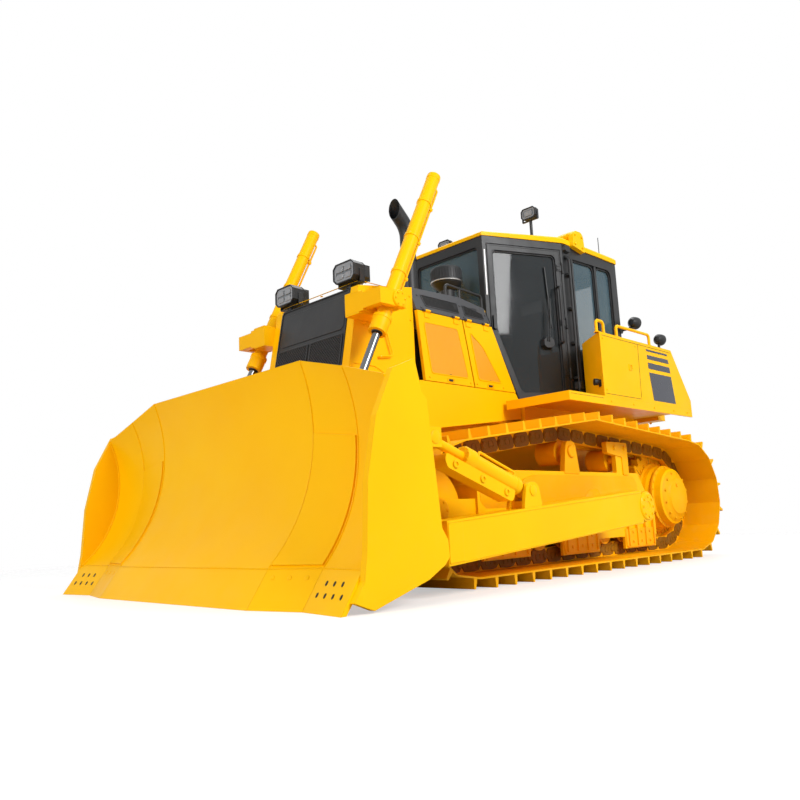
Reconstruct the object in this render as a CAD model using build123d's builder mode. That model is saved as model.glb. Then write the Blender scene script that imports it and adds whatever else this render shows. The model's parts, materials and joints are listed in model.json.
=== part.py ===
from build123d import *
from math import acos, asin, atan2, cos, degrees, hypot, pi, radians, sin, sqrt, tan
import os

# Crawler bulldozer with a fixed-angle tilt blade.
# Millimetres. +X forward (towards the blade), +Y to the machine's left, +Z up, ground at Z = 0.
# Stations along the machine are measured forward of the sprocket axle and turned into X by fx().

# ---------------------------------------------------------------- overall
front_reach = 4632.0          # sprocket axle to the tip of the cutting edge
rear_reach = 905.0            # sprocket axle to the rear of the drawbar
axle_x = (rear_reach - front_reach) / 2
joint_gap = 0.3               # free play where two curved faces meet
pin_play = 0.05               # radial play of a pin in its bore
panel_gap = 6.0               # gap round every door

# ---------------------------------------------------------------- undercarriage
track_gauge = 2050.0
shoe_width = 915.0
shoe_count = 45
shoe_thick = 12.0
grouser_height = 65.0
grouser_tip = 18.0
grouser_root = 34.0
grouser_offset = 26.0         # from the rear pin of the shoe to the foot of the grouser
link_height = 121.0
link_pin_height = 58.0        # pin line above the inner face of the shoe
rail_width = 50.0
rail_inner = 45.0             # inner side of a rail from the middle of the track
sprocket_z = 575.0
sprocket_pitch_r = 440.6
sprocket_teeth = 27
sprocket_half_width = 35.0
sprocket_tip_r = 458.0
sprocket_root_r = 412.0
sprocket_bore_r = 300.0
idler_reach = 3285.0
idler_z = 509.0
idler_pitch_r = 374.0
idler_axle_r = 60.0
roller_r = 95.0
roller_flange_r = 112.0
roller_first = 500.0          # station of the rearmost track roller
roller_last = 2740.0
roller_count = 8
carrier_r = 100.0
carrier_front = (1673.0, 955.0)
carrier_rear_station = 900.0
frame_half_width = 190.0      # track frame, side of the centre line
frame_low = 415.0
frame_high = 790.0

# ---------------------------------------------------------------- blade and its lift
trunnion = (1400.0, 480.0)    # station and height of the push arms' rear pivots
trunnion_pin_r = 60.0
arm_inner_y = 1530.0
arm_width = 170.0
arm_height = 256.0
arm_front = (3770.0, 310.0)   # middle of the arm's front end
arm_rear_gap = 75.0           # from the trunnion to the square end of the arm
arm_eye = (3910.0, 283.0)
arm_eye_r = 95.0
edge_height = 215.0
edge_angle = 55.0
edge_thick = 30.0
arm_eye_half = 45.0
arm_pin_r = 38.0
arm_mid_y = arm_inner_y + arm_width / 2
tilt_low = (2900.0, 610.0)    # lower and upper pins of the tilt cylinder
tilt_high = (3800.0, 925.0)
tilt_y = arm_mid_y
tilt_pin_r = 28.0
tilt_eye_half = 32.0
tilt_eye_r = 52.0
tilt_barrel_r = 58.0
moldboard_thick = 28.0
end_plate_y = 1722.0
end_plate_thick = 40.0
lift_y = 785.0
yoke = (3266.0, 2045.0)       # trunnion of the lift cylinders
rod_eye = (3895.0, 800.0)
barrel_tip_reach = 1301.0     # from the yoke to the closed end
gland_reach = 276.0           # from the yoke to the rod's gland
barrel_r = 55.0
rod_r = 30.0
rod_inside = 430.0            # length of rod inside the barrel at rest

# ---------------------------------------------------------------- body and cab
fender_y = 1250.0
fender_inner_y = 600.0
fender_front = 1674.0
fender_rear = -612.0
fender_top = 1461.0
fender_lip = 78.0
sheet = 20.0
tool_box_inner_y = 880.0
tool_box_front = 1107.0
tool_box_top = 2045.0
hood_half = 560.0
door_thick = 30.0
door_low = 1562.0
door_high = 2135.0
door_rear_low = 1470.0        # lower rear corner of the rear engine door
nose_rear = 2730.0
nose_half = 520.0
cab_wall = 60.0
cab_base = fender_top
cab_top = 3055.0
cab_front = 1680.0
cab_front_half = 450.0
pillar = (885.0, 800.0)       # door hinge pillar, station and side
cab_rear_side = (-130.0, 800.0)
cab_rear = -230.0
cab_rear_half = 640.0
glass_thick = 8.0
roof_thick = 85.0


def fx(station):
    """X of a station measured forward of the sprocket axle."""
    return axle_x + station


def prism_y(points, y_from, y_to, mode=Mode.ADD):
    """Solid whose outline is given in stations and heights, between two values of Y."""
    with BuildSketch(Plane.XZ.offset(-y_from)) as outline:
        with BuildLine():
            Polyline(*[(fx(s), z) for s, z in points], close=True)
        make_face()
    extrude(outline.sketch, amount=-(y_to - y_from), mode=mode)


def prism_x(points, station_from, station_to, mode=Mode.ADD):
    """Solid whose outline is given in Y and Z, between two stations."""
    with BuildSketch(Plane.YZ.offset(fx(station_from))) as outline:
        with BuildLine():
            Polyline(*points, close=True)
        make_face()
    extrude(outline.sketch, amount=station_to - station_from, mode=mode)


def prism_z(points, z_from, z_to, mode=Mode.ADD):
    """Solid whose outline is given in stations and Y, between two heights."""
    with BuildSketch(Plane.XY.offset(z_from)) as outline:
        with BuildLine():
            Polyline(*[(fx(s), y) for s, y in points], close=True)
        make_face()
    extrude(outline.sketch, amount=z_to - z_from, mode=mode)


def block(stations, ys, zs, mode=Mode.ADD):
    """Rectangular solid between pairs of stations, Y and Z."""
    corners = [(stations[0], zs[0]), (stations[1], zs[0]), (stations[1], zs[1]), (stations[0], zs[1])]
    prism_y(corners, ys[0], ys[1], mode)


def bar_y(station, z, radius, y_from, y_to, mode=Mode.ADD):
    """Round bar along Y."""
    with BuildSketch(Plane.XZ.offset(-y_from)) as disc:
        with Locations((fx(station), z)):
            Circle(radius)
    extrude(disc.sketch, amount=-(y_to - y_from), mode=mode)


def bar(start, end, radius, mode=Mode.ADD):
    """Round bar between two points given as station, Y, Z."""
    a = Vector(fx(start[0]), start[1], start[2])
    b = Vector(fx(end[0]), end[1], end[2])
    with BuildSketch(Plane(origin=a, z_dir=b - a)) as disc:
        Circle(radius)
    extrude(disc.sketch, amount=(b - a).length, mode=mode)


def save(part, label):
    part.label = label
    export_step(part, f"parts/{label}.step")


def save_pair(part, stem):
    """Writes a left piece and its mirror image on the right."""
    save(part, stem + "_left")
    save(mirror(part, about=Plane.XZ), stem + "_right")


os.makedirs("parts", exist_ok=True)
half_gauge = track_gauge / 2

# ================================================================ track path
# The pins run round four circles: sprocket, front track roller, idler and front carrier roller.
pin_line = grouser_height + shoe_thick + link_pin_height      # height of the pins on the ground
rail_drop = link_height - link_pin_height                     # from the pins to the rail's surface
roller_z = pin_line + rail_drop + roller_r + joint_gap
roller_pitch_r = roller_r + joint_gap + rail_drop
carrier_pitch_r = carrier_r + 1.0 + rail_drop
wheels = [
    # station, height, radius of the pin path
    (0.0, pin_line + sprocket_pitch_r, sprocket_pitch_r),
    (roller_last, roller_z, roller_pitch_r),
    (idler_reach, idler_z, idler_pitch_r),
    (carrier_front[0], carrier_front[1], carrier_pitch_r),
]
axle_z = wheels[0][1]


def tangent_normal(first, second):
    """Outward normal of the belt's straight run from one circle to the next."""
    length = hypot(second[0] - first[0], second[1] - first[1])
    ux, uz = (second[0] - first[0]) / length, (second[1] - first[1]) / length
    k = (first[2] - second[2]) / length
    side = sqrt(1 - k * k)
    return (ux * k + uz * side, uz * k - ux * side)


normals = [tangent_normal(wheels[i], wheels[(i + 1) % len(wheels)]) for i in range(len(wheels))]
runs = []                      # pieces of the path: ("arc", wheel, start angle, turn) or ("line", a, b)
for i, wheel in enumerate(wheels):
    n_in, n_out = normals[i - 1], normals[i]
    a_in = atan2(n_in[1], n_in[0])
    turn = (atan2(n_out[1], n_out[0]) - a_in) % (2 * pi)
    following = wheels[(i + 1) % len(wheels)]
    start = (wheel[0] + wheel[2] * n_out[0], wheel[1] + wheel[2] * n_out[1])
    end = (following[0] + following[2] * n_out[0], following[1] + following[2] * n_out[1])
    runs.append(("arc", wheel, a_in, turn))
    runs.append(("line", start, end))


def run_length(run):
    if run[0] == "arc":
        return run[1][2] * run[3]
    return hypot(run[2][0] - run[1][0], run[2][1] - run[1][1])


path_length = sum(run_length(run) for run in runs)
pitch = path_length / shoe_count


def path_point(distance):
    """Point of the pin path at a distance from its start, which is the top of the sprocket."""
    distance %= path_length
    for run in runs:
        length = run_length(run)
        if distance <= length:
            if run[0] == "arc":
                angle = run[2] + distance / run[1][2]
                return (run[1][0] + run[1][2] * cos(angle), run[1][1] + run[1][2] * sin(angle))
            t = distance / length
            return (run[1][0] + t * (run[2][0] - run[1][0]), run[1][1] + t * (run[2][1] - run[1][1]))
        distance -= length
    return path_point(0)


# One pin stands over the middle of the front carrier roller.
carrier_distance = sum(run_length(run) for run in runs[:6]) + run_length(runs[6]) / 2
pins = [path_point(carrier_distance + i * pitch) for i in range(shoe_count)]


def link_axes(i):
    """Rear pin, unit tangent and outward normal of one link."""
    a, b = pins[i % shoe_count], pins[(i + 1) % shoe_count]
    length = hypot(b[0] - a[0], b[1] - a[1])
    t = ((b[0] - a[0]) / length, (b[1] - a[1]) / length)
    return a, t, (t[1], -t[0]), length


def ring_points(offset):
    """The pin polygon moved outwards, one corner for each pin."""
    corners = []
    for i in range(shoe_count):
        pin, _, n1, _ = link_axes(i)
        _, _, n0, _ = link_axes(i - 1)
        bx, bz = n0[0] + n1[0], n0[1] + n1[1]
        scale = 2 * offset / (bx * bx + bz * bz)
        corners.append((pin[0] + bx * scale, pin[1] + bz * scale))
    return corners


shoe_face = link_pin_height + shoe_thick
shoe_profile = [
    # along the link, out from the pins
    (3.0, shoe_face),
    (grouser_offset, shoe_face),
    (grouser_offset + (grouser_root - grouser_tip) / 2, shoe_face + grouser_height),
    (grouser_offset + (grouser_root + grouser_tip) / 2, shoe_face + grouser_height),
    (grouser_offset + grouser_root, shoe_face),
]
tread_outline = []
for i in range(shoe_count):
    pin, t, n, length = link_axes(i)
    for u, v in shoe_profile + [(length - 3.0, shoe_face)]:
        tread_outline.append((pin[0] + t[0] * u + n[0] * v, pin[1] + t[1] * u + n[1] * v))

inner_face = half_gauge - shoe_width / 2
outer_face = half_gauge + shoe_width / 2
with BuildPart() as track:
    prism_y(tread_outline, inner_face, outer_face)
    prism_y(ring_points(link_pin_height), inner_face, half_gauge - rail_inner - rail_width, Mode.SUBTRACT)
    prism_y(ring_points(link_pin_height), half_gauge - rail_inner, half_gauge + rail_inner, Mode.SUBTRACT)
    prism_y(ring_points(link_pin_height), half_gauge + rail_inner + rail_width, outer_face, Mode.SUBTRACT)
    prism_y(ring_points(-rail_drop), inner_face, outer_face, Mode.SUBTRACT)
save_pair(track.part, "track")

# ================================================================ sprockets, idlers, rollers
tooth_pitch = 2 * pi / sprocket_teeth
tooth_outline = []
for i in range(sprocket_teeth):
    for share, radius in ((-0.34, sprocket_root_r), (-0.14, sprocket_tip_r), (0.14, sprocket_tip_r), (0.34, sprocket_root_r)):
        angle = (i + share) * tooth_pitch
        tooth_outline.append((radius * cos(angle), axle_z + radius * sin(angle)))
with BuildPart() as sprocket:
    prism_y(tooth_outline, half_gauge - sprocket_half_width, half_gauge + sprocket_half_width)
    bar_y(0, axle_z, sprocket_bore_r, half_gauge - sprocket_half_width, half_gauge + sprocket_half_width, Mode.SUBTRACT)
with BuildPart() as sprockets:
    add(sprocket.part)
    mirror(sprocket.part, about=Plane.XZ)
save(sprockets.part, "sprockets")

# Final drive: tube from the hull, flange behind the sprocket, hub and domed cover.
hull_half = 400.0
hub_flange_r = 345.0
hub_flange_thick = 30.0
sprocket_face_y = half_gauge - sprocket_half_width
hub_profile = [
    # Y, radius
    (hull_half, 0.0),
    (hull_half, 260.0),
    (inner_face + 60.0, 260.0),
    (sprocket_face_y - hub_flange_thick, hub_flange_r),
    (sprocket_face_y, hub_flange_r),
    (sprocket_face_y, sprocket_bore_r - joint_gap),
    (half_gauge + 90.0, sprocket_bore_r - joint_gap),
    (half_gauge + 150.0, 275.0),
    (half_gauge + 225.0, 262.0),
    (half_gauge + 262.0, 200.0),
    (half_gauge + 275.0, 0.0),
]
with BuildPart() as final_drive:
    with BuildSketch(Plane.XY.offset(axle_z)) as section:
        with BuildLine():
            Polyline(*[(fx(0) + r, y) for y, r in hub_profile], close=True)
        make_face()
    revolve(section.sketch, axis=Axis((fx(0), 0, axle_z), (0, 1, 0)))
with BuildPart() as final_drives:
    add(final_drive.part)
    mirror(final_drive.part, about=Plane.XZ)
save(final_drives.part, "final_drives")

# The rails touch the idler's treads at the middle of each link.
idler_tread_r = sqrt(idler_pitch_r ** 2 - (pitch / 2) ** 2) - rail_drop - joint_gap
rail_outer = rail_inner + rail_width
yoke_y = 125.0                # inner side of the idler's yoke
with BuildPart() as idler:
    bar_y(idler_reach, idler_z, idler_tread_r, half_gauge - rail_outer - 5, half_gauge + rail_outer + 5)
    bar_y(idler_reach, idler_z, idler_tread_r + 22, half_gauge - rail_inner + 6, half_gauge + rail_inner - 6)
    bar_y(idler_reach, idler_z, idler_axle_r, half_gauge - yoke_y - 20, half_gauge + yoke_y + 20)
with BuildPart() as idlers:
    add(idler.part)
    mirror(idler.part, about=Plane.XZ)
save(idlers.part, "idlers")

roller_shaft_r = 38.0
roller_end = frame_half_width - 25.0
roller_stations = [
    roller_first + i * (roller_last - roller_first) / (roller_count - 1) for i in range(roller_count)
]
with BuildPart() as track_rollers:
    for side in (1, -1):
        for station in roller_stations:
            mid = side * half_gauge
            bar_y(station, roller_z, roller_r, mid - rail_outer - 6, mid + rail_outer + 6)
            bar_y(station, roller_z, roller_flange_r, mid - rail_outer - 26, mid - rail_outer - 6)
            bar_y(station, roller_z, roller_flange_r, mid + rail_outer + 6, mid + rail_outer + 26)
            bar_y(station, roller_z, roller_shaft_r, mid - roller_end, mid + roller_end)
save(track_rollers.part, "track_rollers")

# The rear carrier roller just carries the straight run from the front one to the sprocket.
top_run = runs[7]
run_slope = (top_run[2][1] - top_run[1][1]) / (top_run[2][0] - top_run[1][0])
carrier_rear = (
    carrier_rear_station,
    top_run[1][1] + (carrier_rear_station - top_run[1][0]) * run_slope
    - carrier_pitch_r * sqrt(1 + run_slope ** 2),
)
carriers = [carrier_front, carrier_rear]
carrier_post_y = 150.0
with BuildPart() as carrier_rollers:
    for side in (1, -1):
        for station, height in carriers:
            mid = side * half_gauge
            bar_y(station, height, carrier_r, mid - rail_outer, mid + rail_outer)
            bar_y(station, height, 35.0, min(mid, mid + side * carrier_post_y), max(mid, mid + side * carrier_post_y))
save(carrier_rollers.part, "carrier_rollers")

# ================================================================ track frames
frame_outline = [
    (490.0, frame_low), (490.0, 640.0), (600.0, frame_high), (2450.0, frame_high),
    (2900.0, 690.0), (2900.0, frame_low),
]
guards = [
    # rear station, front station, lower edge
    (roller_stations[0] - 130.0, roller_stations[1] + 100.0, 130.0),
    (roller_stations[3] - 110.0, roller_stations[4] + 110.0, 130.0),
    (roller_stations[6] - 100.0, roller_stations[7] + 130.0, 150.0),
]
outrigger_r = 105.0
arm_gap = 5.0
with BuildPart() as track_frame:
    prism_y(frame_outline, half_gauge - frame_half_width, half_gauge + frame_half_width)
    for inward in (-1, 1):
        plate = sorted((half_gauge + inward * frame_half_width, half_gauge + inward * roller_end))
        block((340.0, 2900.0), plate, (roller_z - 60.0, frame_low))
        for rear, front, low in guards:
            block((rear, front), plate, (low, roller_z))
        fork = sorted((half_gauge + inward * (yoke_y + 45.0), half_gauge + inward * (yoke_y + 1.0)))
        block((2880.0, idler_reach + 110.0), fork, (idler_z - 75.0, idler_z + 75.0))
    for station, height in carriers:
        post = (half_gauge + carrier_post_y, half_gauge + carrier_post_y + 40.0)
        block((station - 60.0, station + 60.0), post, (frame_high - 20.0, height + 70.0))
    bar_y(trunnion[0], trunnion[1], outrigger_r, half_gauge + frame_half_width - 10, arm_inner_y - arm_gap)
    bar_y(trunnion[0], trunnion[1], trunnion_pin_r, arm_inner_y - arm_gap - 1, arm_inner_y + arm_width - 10)
    bar_y(idler_reach, idler_z, idler_axle_r + pin_play, half_gauge - 300, half_gauge + 300, Mode.SUBTRACT)
save_pair(track_frame.part, "track_frame")

# ================================================================ main frame
pivot_station = 700.0
pivot_z = 560.0
pivot_r = 85.0
deck_low = 1300.0
nose_low = 1120.0
pad_reach = 650.0             # machined face for rear equipment, behind the sprocket axle
pad_half = 380.0
pad_heights = (820.0, 1280.0)
frame_side_y = half_gauge - frame_half_width
with BuildPart() as main_frame:
    hull = [
        (-620.0, 620.0), (-620.0, deck_low), (nose_rear, deck_low), (nose_rear, 900.0),
        (3300.0, 900.0), (3300.0, 640.0), (2700.0, 470.0), (0.0, 470.0),
    ]
    prism_y(hull, -hull_half, hull_half)
    block((-600.0, 1400.0), (-fender_inner_y, fender_inner_y), (deck_low, fender_top))
    block((-pad_reach, -600.0), (-pad_half, pad_half), pad_heights)
    for side in (1, -1):
        panel = [(1410.0, 1324.0), (nose_rear, 1157.0), (nose_rear, door_low - panel_gap),
                 (door_rear_low, door_low - panel_gap), (1410.0, fender_top - panel_gap)]
        prism_y(panel, *sorted((side * hood_half, side * (hood_half - door_thick))))
        block((1360.0, nose_rear), sorted((side * hull_half - side * 5, side * (hood_half - door_thick + 1))), (1270.0, 1300.0))
        bar_y(pivot_station, pivot_z, pivot_r, *sorted((side * (hull_half - 5), side * frame_side_y)))
        block((2350.0, 2470.0), sorted((side * (hull_half - 5), side * frame_side_y)), (620.0, 720.0))
save(main_frame.part, "main_frame")

with BuildPart() as engine_block:
    block((1740.0, 2660.0), (-330.0, 330.0), (deck_low, 2050.0))
save(engine_block.part, "engine_block")

# ================================================================ nose
nose_high = 2240.0
nose_lean = 0.19              # the front leans forward by this share of its depth
nose_front = 3316.0


def nose_x(z):
    return nose_front + (nose_high - z) * nose_lean


mask_half = 438.0
mask_low = 1500.0
mask_depth = 60.0
with BuildPart() as radiator_guard:
    prism_y([(nose_rear, nose_low), (nose_x(nose_low), nose_low), (nose_front, nose_high), (nose_rear, 2330.0)],
            -nose_half, nose_half)
    prism_y([(nose_x(mask_low) + 50, mask_low), (nose_x(mask_low) - mask_depth, mask_low),
             (nose_front - mask_depth, nose_high + 20), (nose_front - mask_depth, nose_high + 90),
             (nose_front + 50, nose_high + 90)],
            -mask_half, mask_half, Mode.SUBTRACT)
    block((nose_rear, 3300.0), (-hull_half, hull_half), (900.0, nose_low + 1))
save(radiator_guard.part, "radiator_guard")

with BuildPart() as grille_mask:
    prism_y([(nose_x(mask_low), mask_low), (nose_x(mask_low) - mask_depth, mask_low),
             (nose_front - mask_depth, nose_high + 20), (nose_front, nose_high)],
            -mask_half, mask_half)
save(grille_mask.part, "grille_mask")

# ================================================================ hood and engine doors
hood_low = door_high + panel_gap
hood_line = [(nose_rear, 2345.0), (2090.0, 2375.0), (1722.0, 2312.0)]
hood_top_half = 470.0
with BuildPart() as hood_top:
    prism_y([(nose_rear, 2315.0), *hood_line, (1722.0, 2282.0), (2090.0, 2345.0)], -hood_top_half, hood_top_half)
save(hood_top.part, "hood_top")

hood_hinge = (hood_half + 12.0, hood_low)     # Y and Z of the engine doors' hinge line
hood_hinge_stations = {"front": (2250.0, 2610.0), "rear": (1850.0, 2090.0)}
knuckle_r = 10.0
knuckle_half = 30.0
collar_length = 20.0
hinge_pin_r = 5.0


def hood_bar(side, radius, station_from, station_to, mode=Mode.ADD):
    """Round bar on the hinge line of the engine doors."""
    y = side * hood_hinge[0]
    bar((station_from, y, hood_hinge[1]), (station_to, y, hood_hinge[1]), radius, mode)


with BuildPart() as vent_strips:
    for side in (1, -1):
        prism_x([(side * hood_half, hood_low), (side * (hood_half - door_thick), hood_low),
                 (side * hood_top_half, 2260.0), (side * hood_top_half, 2375.0)], 1770.0, nose_rear)
    prism_y([(nose_rear + 1, 2345.0), (2090.0, 2375.0), (1770.0, 2320.0), (1700.0, 2420.0), (nose_rear + 1, 2420.0)],
            -700, 700, Mode.SUBTRACT)
    for side in (1, -1):
        for station in hood_hinge_stations["front"] + hood_hinge_stations["rear"]:
            hood_bar(side, hinge_pin_r, station - knuckle_half - 1, station + knuckle_half + 1)
            for end in (station - knuckle_half - pin_play - collar_length, station + knuckle_half + pin_play):
                hood_bar(side, knuckle_r, end, end + collar_length)
                block((end, end + collar_length), sorted((side * (hood_half - 6), side * hood_hinge[0])),
                      (hood_low, hood_low + knuckle_r))
save(vent_strips.part, "vent_strips")

door_rear_high = 1762.0
split_low = 2047.0
split_high = 2163.0
split_gap = 14.0              # room for the rear door's inner edge as it swings down
door_front_low = 2660.0
door_front_high = 2722.0
doors = [
    # name, lower rear, lower front, upper front, upper rear station
    ("front", split_low + split_gap / 2, door_front_low, door_front_high, split_high + split_gap / 2),
    ("rear", door_rear_low, split_low - split_gap / 2, split_high - split_gap / 2, door_rear_high),
]
for name, low_rear, low_front, high_front, high_rear in doors:
    with BuildPart() as engine_door:
        prism_y([(low_rear, door_low), (low_front, door_low), (high_front, door_high), (high_rear, door_high)],
                hood_half - door_thick, hood_half)
        for station in hood_hinge_stations[name]:
            ends = (station - knuckle_half, station + knuckle_half)
            hood_bar(1, knuckle_r, *ends)
            block(ends, (hood_half, hood_half + 6), (door_high - 50, hood_low))
            block(ends, (hood_half, hood_hinge[0]), (hood_low - knuckle_r, hood_low - 4))
            hood_bar(1, hinge_pin_r + pin_play, *ends, Mode.SUBTRACT)
    save_pair(engine_door.part, "engine_door_" + name)

# ================================================================ exhaust, air intake, lamps
exhaust = (2560.0, 270.0)
exhaust_r = 75.0


def hood_z(station):
    """Height of the hood's top at a station."""
    for (x1, z1), (x0, z0) in zip(hood_line, hood_line[1:]):
        if x0 <= station <= x1:
            return z0 + (z1 - z0) * (station - x0) / (x1 - x0)
    return hood_line[0][1]


with BuildPart() as exhaust_stack:
    bar((exhaust[0], exhaust[1], hood_z(exhaust[0] - exhaust_r) + joint_gap), (exhaust[0], exhaust[1], 2760.0), exhaust_r)
    bar((exhaust[0], exhaust[1], 2760.0), (exhaust[0] + 90, exhaust[1], 3080.0), exhaust_r)
save(exhaust_stack.part, "exhaust_stack")

intake = (1930.0, 150.0)
intake_neck_r = 70.0
with BuildPart() as precleaner:
    bar((intake[0], intake[1], hood_z(intake[0] + intake_neck_r) + joint_gap), (intake[0], intake[1], 2600.0), intake_neck_r)
    bar((intake[0], intake[1], 2600.0), (intake[0], intake[1], 2770.0), 145.0)
save(precleaner.part, "precleaner")

# ================================================================ cab
hex_plan = [
    (cab_front, cab_front_half), pillar, cab_rear_side, (cab_rear, cab_rear_half),
    (cab_rear, -cab_rear_half), (cab_rear_side[0], -cab_rear_side[1]), (pillar[0], -pillar[1]),
    (cab_front, -cab_front_half),
]
cab_nose = [
    # side view of the cab's front
    (cab_rear - 100, cab_base - 100), (1405.0, cab_base - 100), (1405.0, cab_base), (cab_front, 2290.0),
    (cab_front, cab_top + 100), (cab_rear - 100, cab_top + 100),
]
with BuildPart() as cab_inside:
    with BuildSketch(Plane.XY.offset(cab_base + 40)) as plan:
        with BuildLine():
            Polyline(*[(fx(s), y) for s, y in hex_plan], close=True)
        make_face()
        offset(amount=-cab_wall, kind=Kind.INTERSECTION)
    extrude(amount=cab_top - 40 - cab_base - 40)
    prism_y([(s - cab_wall * 1.06, z) for s, z in cab_nose], -1000, 1000, Mode.INTERSECT)

door_face = Plane(
    origin=(fx(pillar[0]), pillar[1], 0),
    x_dir=(pillar[0] - cab_front, pillar[1] - cab_front_half, 0),
    z_dir=(pillar[1] - cab_front_half, cab_front - pillar[0], 0),
)
face_length = hypot(cab_front - pillar[0], cab_front_half - pillar[1])
door_edge = 30.0              # width of the pillar behind the hinge
door_free = face_length - 45.0
door_bottom = cab_base + 45.0
door_top = cab_top - 75.0
hinge_out = 12.0
door_points = [
    (door_edge, door_bottom), (face_length - 275.0, door_bottom), (door_free, 2130.0),
    (door_free, door_top), (door_edge, door_top),
]


def door_prism(points, depth_from, depth_to, mode=Mode.ADD):
    """Solid in the left door's plane: distance forward of the pillar and height, between two depths."""
    with BuildSketch(door_face.offset(depth_from)) as outline:
        with BuildLine():
            Polyline(*[(-u, z) for u, z in points], close=True)
        make_face()
    extrude(outline.sketch, amount=depth_to - depth_from, mode=mode)


def inset_points(points, amount):
    """Corners of a convex outline moved inwards, in the same order."""
    corners = []
    count = len(points)
    for i in range(count):
        x0, y0 = points[i - 1]
        x1, y1 = points[i]
        x2, y2 = points[(i + 1) % count]
        l0, l1 = hypot(x1 - x0, y1 - y0), hypot(x2 - x1, y2 - y1)
        n0 = (-(y1 - y0) / l0, (x1 - x0) / l0)
        n1 = (-(y2 - y1) / l1, (x2 - x1) / l1)
        bx, by = n0[0] + n1[0], n0[1] + n1[1]
        k = 2 * amount / (bx * bx + by * by)
        corners.append((x1 + bx * k, y1 + by * k))
    return corners


cab_hinge = (20.0, 12.0)      # forward of the pillar's corner, out from the skin
cab_hinge_heights = (1760.0, 2250.0, 2800.0)


def door_bar(radius, z_from, z_to, mode=Mode.ADD):
    """Upright round bar on the left door's hinge line."""
    forward, out = door_face.x_dir, door_face.z_dir
    centre = door_face.origin - forward * cab_hinge[0] + out * cab_hinge[1]
    with BuildSketch(Plane(origin=(centre.X, centre.Y, z_from))) as disc:
        Circle(radius)
    extrude(disc.sketch, amount=z_to - z_from, mode=mode)


def door_block(us, depths, zs, mode=Mode.ADD):
    """Box in the left door's plane."""
    door_prism([(us[0], zs[0]), (us[1], zs[0]), (us[1], zs[1]), (us[0], zs[1])], depths[0], depths[1], mode)


door_frame = 55.0
with BuildPart() as left_door:
    door_prism(door_points, -cab_wall, 0)
    door_prism(inset_points(door_points, door_frame), -cab_wall - 5, 5, Mode.SUBTRACT)
    for z in cab_hinge_heights:
        door_bar(knuckle_r, z - knuckle_half, z + knuckle_half)
        door_block((cab_hinge[0], door_edge + 50), (0, 8), (z - knuckle_half, z + knuckle_half))
        door_bar(hinge_pin_r + pin_play, z - knuckle_half, z + knuckle_half, Mode.SUBTRACT)
save_pair(left_door.part, "cab_door")
with BuildPart() as left_pane:
    door_prism(inset_points(door_points, door_frame), -cab_wall / 2 - glass_thick / 2, -cab_wall / 2 + glass_thick / 2)
save_pair(left_pane.part, "door_glass")

with BuildPart() as door_hole:
    door_prism(inset_points(door_points, -panel_gap), -cab_wall - 60, 40)

side_window = [(-20.0, 2060.0), (760.0, 2000.0), (760.0, 2930.0), (-20.0, 2960.0)]
rear_window = [(-520.0, 2080.0), (520.0, 2080.0), (520.0, 2930.0), (-520.0, 2930.0)]
front_window = [(-390.0, 2330.0), (390.0, 2330.0), (390.0, 2960.0), (-390.0, 2960.0)]
with BuildPart() as cab_shell:
    with BuildSketch(Plane.XY.offset(cab_base)) as plan:
        with BuildLine():
            Polyline(*[(fx(s), y) for s, y in hex_plan], close=True)
        make_face()
    extrude(amount=cab_top - cab_base)
    prism_y(cab_nose, -1000, 1000, Mode.INTERSECT)
    add(cab_inside.part, mode=Mode.SUBTRACT)
    add(door_hole.part, mode=Mode.SUBTRACT)
    add(mirror(door_hole.part, about=Plane.XZ, mode=Mode.PRIVATE), mode=Mode.SUBTRACT)
    prism_y(side_window, pillar[1] - cab_wall - 10, pillar[1] + 10, Mode.SUBTRACT)
    prism_y(side_window, -pillar[1] - 10, -pillar[1] + cab_wall + 10, Mode.SUBTRACT)
    prism_x(rear_window, cab_rear - 10, cab_rear + cab_wall + 10, Mode.SUBTRACT)
    prism_x(front_window, cab_front - cab_wall - 40, cab_front + 10, Mode.SUBTRACT)
with BuildPart() as cab_hinges:
    for z in cab_hinge_heights:
        door_bar(hinge_pin_r, z - knuckle_half - 1, z + knuckle_half + 1)
        for low in (z - knuckle_half - pin_play - collar_length, z + knuckle_half + pin_play):
            door_bar(knuckle_r, low, low + collar_length)
            door_block((2, cab_hinge[0]), (-1, 9), (low, low + collar_length))
with BuildPart() as cab_frame:
    add(cab_shell.part)
    add(cab_hinges.part)
    mirror(cab_hinges.part, about=Plane.XZ)
save(cab_frame.part, "cab_frame")

with BuildPart() as cab_glass:
    mid = cab_wall / 2
    for side in (1, -1):
        prism_y(side_window, *sorted((side * (pillar[1] - mid), side * (pillar[1] - mid - glass_thick))))
    prism_x(rear_window, cab_rear + mid, cab_rear + mid + glass_thick)
    prism_x(front_window, cab_front - mid - glass_thick, cab_front - mid)
save(cab_glass.part, "cab_glass")

with BuildPart() as cab_roof:
    roof_plan = inset_points(list(reversed(hex_plan)), 0.0)
    prism_z(roof_plan, cab_top, cab_top + roof_thick)
save(cab_roof.part, "cab_roof")

floor_z = cab_base + 40.0
with BuildPart() as seat:
    block((360.0, 850.0), (-250.0, 250.0), (floor_z + 330.0, floor_z + 470.0))
    block((270.0, 400.0), (-240.0, 240.0), (floor_z + 400.0, floor_z + 1120.0))
    block((420.0, 800.0), (-180.0, 180.0), (floor_z, floor_z + 335.0))
save(seat.part, "seat")

with BuildPart() as console:
    for side in (1, -1):
        block((340.0, 900.0), sorted((side * 330.0, side * 470.0)), (floor_z, floor_z + 560.0))
    block((1240.0, 1400.0), (-400.0, 400.0), (floor_z + 620.0, floor_z + 860.0))
    block((1240.0, 1320.0), (-60.0, 60.0), (floor_z, floor_z + 700.0))
save(console.part, "console")

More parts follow.
